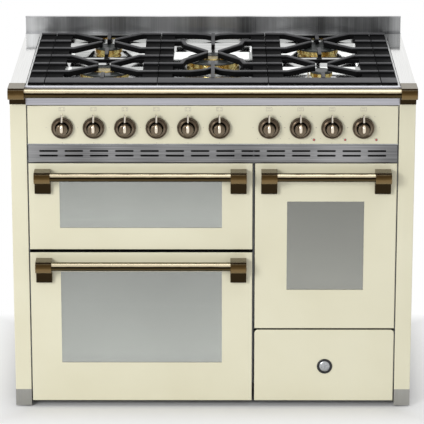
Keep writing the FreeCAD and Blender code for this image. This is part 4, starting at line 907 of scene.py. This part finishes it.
def by_normal(tree, axis, stops):
    """Colours laid along one component of the piece's own normal, from -1 to 1, which paints light and
    shade by which way a face looks.
    """
    facing = add_node(tree, "ShaderNodeTexCoord").outputs["Normal"]
    part = add_node(tree, "ShaderNodeSeparateXYZ", facing).outputs[axis]
    jittered_facing = calc(tree, "ADD", part, span(tree, noise(tree, 60.0), -0.06, 0.06))
    laid = add_node(tree, "ShaderNodeValToRGB", span(tree, jittered_facing, 0.0, 1.0, -1.0, 1.0))
    band = laid.color_ramp
    while len(band.elements) < len(stops):
        band.elements.new(0.5)
    for element, (place, colour) in zip(band.elements, stops):
        element.position = (place + 1) / 2
        element.color = colour
    return laid.outputs[0]


def painted_by_facing(name, axis, stops, rough=(0.2, 0.3)):
    """Metal whose colour is painted by which way each face looks, as painted light and shade."""
    made, tree, shader = new_finish(name)
    feed(shader, Base_Color=by_normal(tree, axis, stops), Roughness=span(tree, noise(tree, 25.0), *rough),
         Metallic=1.0)
    bump(tree, shader, noise(tree, 350.0), 0.1 * MM, 0.12)
    return made


# painted light and shade: the skirt is lighter where its faces look down and darker where they look up
pewter = painted_by_facing("knob_pewter", "Z", [
    (-0.8, tone(142, 129, 114)), (-0.2, tone(122, 110, 94)), (0.0, tone(114, 101, 85)),
    (0.25, tone(92, 80, 66)), (0.8, tone(54, 46, 38)),
], (0.22, 0.34))
shade_pewter = painted_by_facing("knob_pewter_shade", "Z", [(-0.6, tone(66, 58, 50)), (0.3, tone(34, 28, 24))])
# painted highlight on the grip's crest, where it faces forward
grip_highlight = painted_by_facing("knob_grip_highlight", "Y", [
    (-0.99, tone(236, 226, 208)), (-0.78, tone(222, 206, 184)), (-0.5, tone(152, 132, 106)),
    (-0.2, tone(96, 78, 58)), (0.3, tone(66, 54, 42)),
], (0.16, 0.24))
# painted shade on the pointer's faces that look left
nickel = painted_by_facing("knob_nickel", "X", [
    (-0.9, tone(58, 52, 46)), (-0.3, tone(170, 160, 148)), (0.0, tone(214, 206, 194)),
    (0.6, tone(226, 220, 210)),
], (0.14, 0.22))

SKIRT_RADIUS = 27 * MM
GRIP_LEVELS = 14
GRIP_STEPS = 12
GRIP_TAPER = 3.2
GRIP_REACH = 1.04
GRIP_CORNER = 0.55
GRIP_HALF_WIDTH = 5.6 * MM
GRIP_HALF_HEIGHT = 12 * MM
GRIP_RISE = 3.4 * MM
GRIP_LOW = 22 * MM
GRIP_CREST = 39 * MM
POINTER_START = 16.5 * MM
POINTER_END = 36.4 * MM
POINTER_HALF = 2.8 * MM
POINTER_STATIONS = [
    # distance from the knob's axis, share of the width, lower and upper face in front of the panel
    (POINTER_START, 0.8, 15.6, 24), (POINTER_START + 1.5 * MM, 1.0, 14, 25), (SKIRT_RADIUS, 0.9, 10, 22),
    (POINTER_END - 1.2 * MM, 0.62, 13, 19.5), (POINTER_END, 0.3, 15, 18),
]
POINTER_CHAMFER = 1.5
POINTER_CREST = 0.6
SKIRT_PROFILE = [
    # radius, distance in front of the panel, and 3 where the stretch that starts here is in shade
    (0, 5, 0), (26.4, 5, 0), (27, 5.7, 0), (27, 8.2, 0), (26.5, 9.4, 0), (25.4, 10.2, 0), (24.4, 10.2, 3),
    (23.8, 9.7, 3), (23.2, 9.7, 0), (21.4, 11.4, 0), (19.4, 12.2, 0), (17.4, 13.8, 3), (16.4, 13.2, 3),
    (15.2, 12.8, 3), (14.7, 18, 0), (14.2, 26.5, 0), (13.2, 28.6, 0), (11, 29.4, 0), (0, 29.6, 0),
]


def grip_ring(outward, level):
    """Outline of the grip at one level, from its top to its foot: a superellipse that bulges forward."""
    rise = math.cos(math.pi * level / GRIP_LEVELS) * GRIP_HALF_HEIGHT
    narrow = (1 - abs(rise / (GRIP_HALF_HEIGHT * GRIP_REACH)) ** GRIP_TAPER) ** 0.5
    crest = (GRIP_CREST - GRIP_LOW) * narrow ** 0.5
    ring = []
    for step in range(GRIP_STEPS + 1):
        turn = math.pi * step / GRIP_STEPS
        aside = math.cos(turn)
        across = math.copysign(abs(aside) ** GRIP_CORNER, aside) * GRIP_HALF_WIDTH * narrow
        forward = GRIP_LOW + crest * max(math.sin(turn), 0) ** 0.5
        ring.append(outward @ Vector((across, rise + GRIP_RISE, forward)))
    return ring


def pointer_ring(outward, along, share, under, face):
    """Outline of the pointer at one station, with its front edges chamfered."""
    side = share * POINTER_HALF
    crest = side * POINTER_CREST
    outline = [(-side, under), (side, under), (side, face - POINTER_CHAMFER), (crest, face),
               (-crest, face), (-side, face - POINTER_CHAMFER)]
    return [outward @ Vector((x, along, y * MM)) for x, y in outline]


def knob(name):
    """One knob, built round the axis of its CAD node and standing for it."""
    low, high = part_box(name)
    axis_x = (low.x + high.x) / 2
    axis_z = high.z - POINTER_END
    outward = facing_front(axis_x / MM, axis_z / MM)
    shape = bmesh.new()
    turned(shape, [(radius * MM, rise * MM) for radius, rise, _ in SKIRT_PROFILE], outward,
           [finish for _, _, finish in SKIRT_PROFILE])
    lofted(shape, [grip_ring(outward, level) for level in range(GRIP_LEVELS + 1)], 1)
    lofted(shape, [pointer_ring(outward, *station) for station in POINTER_STATIONS], 2)
    piece = piece_from(shape, name + "_finished", name, "bronze", pewter, grip_highlight, nickel, shade_pewter)
    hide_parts(name)


for number in range(1, 7):
    knob(f"gas_knob_{number}")
for number in range(1, 5):
    knob(f"oven_knob_{number}")

# ---------------------------------------------------------------- vent strip
# Brushed steel with two rows of punched slots. The grain runs along the strip, and the metal is painted
# near-black just behind its face as painted shade, so the slots read black.

STRIP_SKIN = 0.3 * MM
brushed_strip, tree, shader = new_finish("brushed_steel")
lines = noise(tree, 500.0, ALONG_X, 5.0)
# painted shade: the metal behind the face is near-black, so the slots read black
slot_shade = calc(tree, "GREATER_THAN", own(tree, "Y"), FRONT_PLANE + STRIP_SKIN)
cloud = noise(tree, 5.0, (1, 0.01, 0.01), 1.0)
mottled = calc(tree, "ADD", span(tree, lines, 0.0, 0.45), span(tree, cloud, 0.0, 0.55))
face_tone = ramp(tree, mottled, tone(100, 100, 101), tone(168, 168, 169), 0.36, 0.68)
feed(shader, Base_Color=mix(tree, slot_shade, face_tone, tone(20, 20, 21)),
     Roughness=span(tree, lines, 0.26, 0.36), Metallic=1.0)
bump(tree, shader, lines, 0.04 * MM, 0.5)
paint(brushed_strip, "vent_strip")

# ---------------------------------------------------------------- doors
# Each door has a cream front with a window and two panes of coated glass, which carry a painted reflection
# that grows paler downwards. The fronts' folded edges are painted dark as shade, so the gaps between them
# read as thin black lines.

GLASS_DEEP = 0.8
GLASS_PALE = 1.12
LEFT_GLASS = tone(214, 217, 212)
# the right door's panes are painted a darker grey, as a painted reflection
RIGHT_GLASS_PAINTED_DARK = tone(190, 191, 184)
# depth behind the front plane past which the cream doors and drawer front are painted dark as shade
DOOR_SHADE_DEPTH = 2.5 * MM


def coated_glass(node, colour):
    """Heat-reflecting glass for one node's panes: part mirror, part clear, with a painted reflection that
    grows paler downwards.
    """
    made, tree, shader = new_finish(node)
    deeper = tuple(GLASS_DEEP * part for part in colour[:3]) + (1,)
    paler = tuple(min(GLASS_PALE * part, 1) for part in colour[:3]) + (1,)
    low, high = (value.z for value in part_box(node))
    # painted reflection: the panes are painted paler towards their foot, with a soft cloud
    reflection_paler_down = span(tree, own(tree, "Z"), 1.0, 0.0, low, high)
    reflection_mist = calc(tree, "ADD", reflection_paler_down, span(tree, noise(tree, 3.0), -0.3, 0.3))
    feed(shader, Base_Color=ramp(tree, reflection_mist, deeper, paler), Metallic=0.45, Transmission_Weight=1.0,
         IOR=1.5, Roughness=span(tree, noise(tree, 6.0), 0.03, 0.06))
    return made


cream_gap_shaded = cream_enamel("cream_door_gap_shade", DOOR_SHADE_DEPTH)
for door in DOORS:
    paint(cream_gap_shaded, f"{door}_door_panel")
    panes = f"{door}_door_glass"
    paint(coated_glass(panes, RIGHT_GLASS_PAINTED_DARK if door == "right" else LEFT_GLASS), panes)

# ---------------------------------------------------------------- drawer
# A cream front with two round corners, fixed to a folded zinc-plated box. A plain steel stud with
# a dark enamelled rim is riveted to the middle of the front.

paint(cream_gap_shaded, "drawer_front")

STUD_X = 283
STUD_HEIGHT = 109
STUD_PROFILE = [
    # radius, distance in front of the drawer, and 1 where the stretch that starts here is enamelled
    (0, 0, 1), (19.4, 0, 1), (19.5, 0.6, 1), (19.2, 1.8, 1), (18.2, 2.4, 1), (14.2, 2.4, 1), (13.4, 1.4, 0),
    (12, 2.4, 0), (6, 3.4, 0), (0, 3.6, 0),
]
stud_rim, tree, shader = new_finish("stud_rim")
feed(shader, Base_Color=ramp(tree, noise(tree, 220.0), tone(8, 8, 10), tone(20, 20, 24), 0.3, 0.7),
     Roughness=0.3)
shape = bmesh.new()
turned(shape, [(r * MM, h * MM) for r, h, _ in STUD_PROFILE], facing_front(STUD_X, STUD_HEIGHT),
       [finish for _, _, finish in STUD_PROFILE])
piece_from(shape, "drawer_stud", "drawer", "brushed_steel", screw_steel, stud_rim)

# ---------------------------------------------------------------- handrail and door handles
# Bars between cast brackets, all in bronze whose colour is painted by which way each face looks: a
# painted highlight along the tops over a thin dark line, and painted shade underneath. The brackets'
# fronts carry painted bands of light and shade, their grooves are dark with patina and painted shade,
# and their saddles are painted dark as shade. The brackets' edges are broken by a small bevel.

# painted light: a highlight along the tops, a dark line below it and painted shade underneath
bar_painted_light = painted_by_facing("bronze_bar_painted_light", "Z", [
    (-0.9, tone(58, 50, 32)), (-0.22, tone(86, 73, 48)), (-0.12, tone(30, 22, 10)),
    (0.24, tone(26, 18, 8)), (0.34, tone(186, 174, 146)), (0.82, tone(208, 196, 170)),
    (0.97, tone(104, 97, 70)),
])
# painted light and shade: bands across the brackets' fronts by which way each face looks
cast_painted_light = painted_by_facing("bronze_cast_painted_light", "Z", [
    (-0.95, tone(52, 43, 29)), (-0.6, tone(128, 110, 78)), (-0.16, tone(120, 98, 64)),
    (-0.03, tone(88, 70, 42)), (0.03, tone(84, 66, 38)), (0.14, tone(64, 48, 25)), (0.45, tone(92, 76, 50)),
    (0.9, tone(118, 108, 88)),
])
# patina and painted shade in the groove, which reads as a dark line
groove_patina_shade = painted_by_facing("bronze_groove_patina_shade", "Z", [(-1.0, tone(24, 16, 8)), (1.0, tone(46, 34, 20))])
# painted shade on the saddle, which lies under the hub
saddle_painted_shade = painted_by_facing("bronze_saddle_painted_shade", "Z", [
    (-0.9, tone(30, 22, 12)), (-0.1, tone(50, 40, 25)), (0.5, tone(92, 78, 54)),
])
# faces of a bracket's profile that take the groove's patina and painted shade (1) or the saddle's painted
# shade (2)
SHADED = {1: 1, 8: 2, 9: 2, 10: 2, 11: 2, 12: 2}
GROOVE_BACK = 6
GROOVE_DEEP = 3.4
LEDGE = 4.5
SADDLE_REACH = 15
BRONZE_EDGE = 0.7 * MM
BRONZE_SHARP = 40


def bracket(shape, x, top, width, reach, hub, height):
    """Cast bracket: a grooved block that holds the bar, over a saddle set well back; sizes in mm."""
    block = [
        # distance behind the front plane (so mostly below 0) and height against the bracket's top
        (0, 0), (GROOVE_BACK - reach, 0), (GROOVE_BACK - reach, -GROOVE_DEEP),
        (1.2 - reach, -GROOVE_DEEP - 0.3), (0.9 - reach, -GROOVE_DEEP - 1.4), (-reach, -12), (-reach, -16),
        (1.6 - reach, LEDGE - hub), (LEDGE + 0.8 - reach, -hub), (-SADDLE_REACH, -hub),
        (1.5 - SADDLE_REACH, -hub - 4), (2.5 - SADDLE_REACH, 4 - height),
        (5 - SADDLE_REACH, -height), (0, -height),
    ]
    sides = [
        [shape.verts.new(((x + step) * MM, FRONT_PLANE + y * MM, (top + z) * MM)) for y, z in block]
        for step in (0, width)
    ]
    shape.faces.new(sides[0])
    shape.faces.new(list(reversed(sides[1])))
    for i in range(len(block)):
        j = (i + 1) % len(block)
        face = shape.faces.new((sides[0][j], sides[0][i], sides[1][i], sides[1][j]))
        face.material_index = SHADED.get(i, 0)


def bracket_pair(owner, body, starts, top, width, reach, hub, height):
    """The two brackets of one bar, with their edges broken by a small bevel."""
    shape = bmesh.new()
    for x in starts:
        bracket(shape, x, top, width, reach, hub, height)
    piece = piece_from(shape, owner + "_brackets_finished", body, "bronze",
                       cast_painted_light, groove_patina_shade, saddle_painted_shade)
    broken_edges(piece, BRONZE_EDGE, BRONZE_SHARP)
    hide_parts(owner + "_brackets")


# width, reach, height of the hub and of the whole bracket
HANDLE_BRACKET = (40, 45, 28, 62)
RAIL_BRACKET = (40, 65, 28, 52)
HANDLES = [
    # owner, body, the brackets' left edges and their top
    ("upper_door_handle", "upper_door", (-442, 44), 627, HANDLE_BRACKET),
    ("lower_door_handle", "lower_door", (-442, 44), 396, HANDLE_BRACKET),
    ("right_door_handle", "right_door", (120, 402), 627, HANDLE_BRACKET),
    ("handrail", "cooker", (-500, 460), 846, RAIL_BRACKET),
]
for owner, body, starts, top, measures in HANDLES:
    paint(bar_painted_light, owner + "_bar")
    bracket_pair(owner, body, starts, top, *measures)
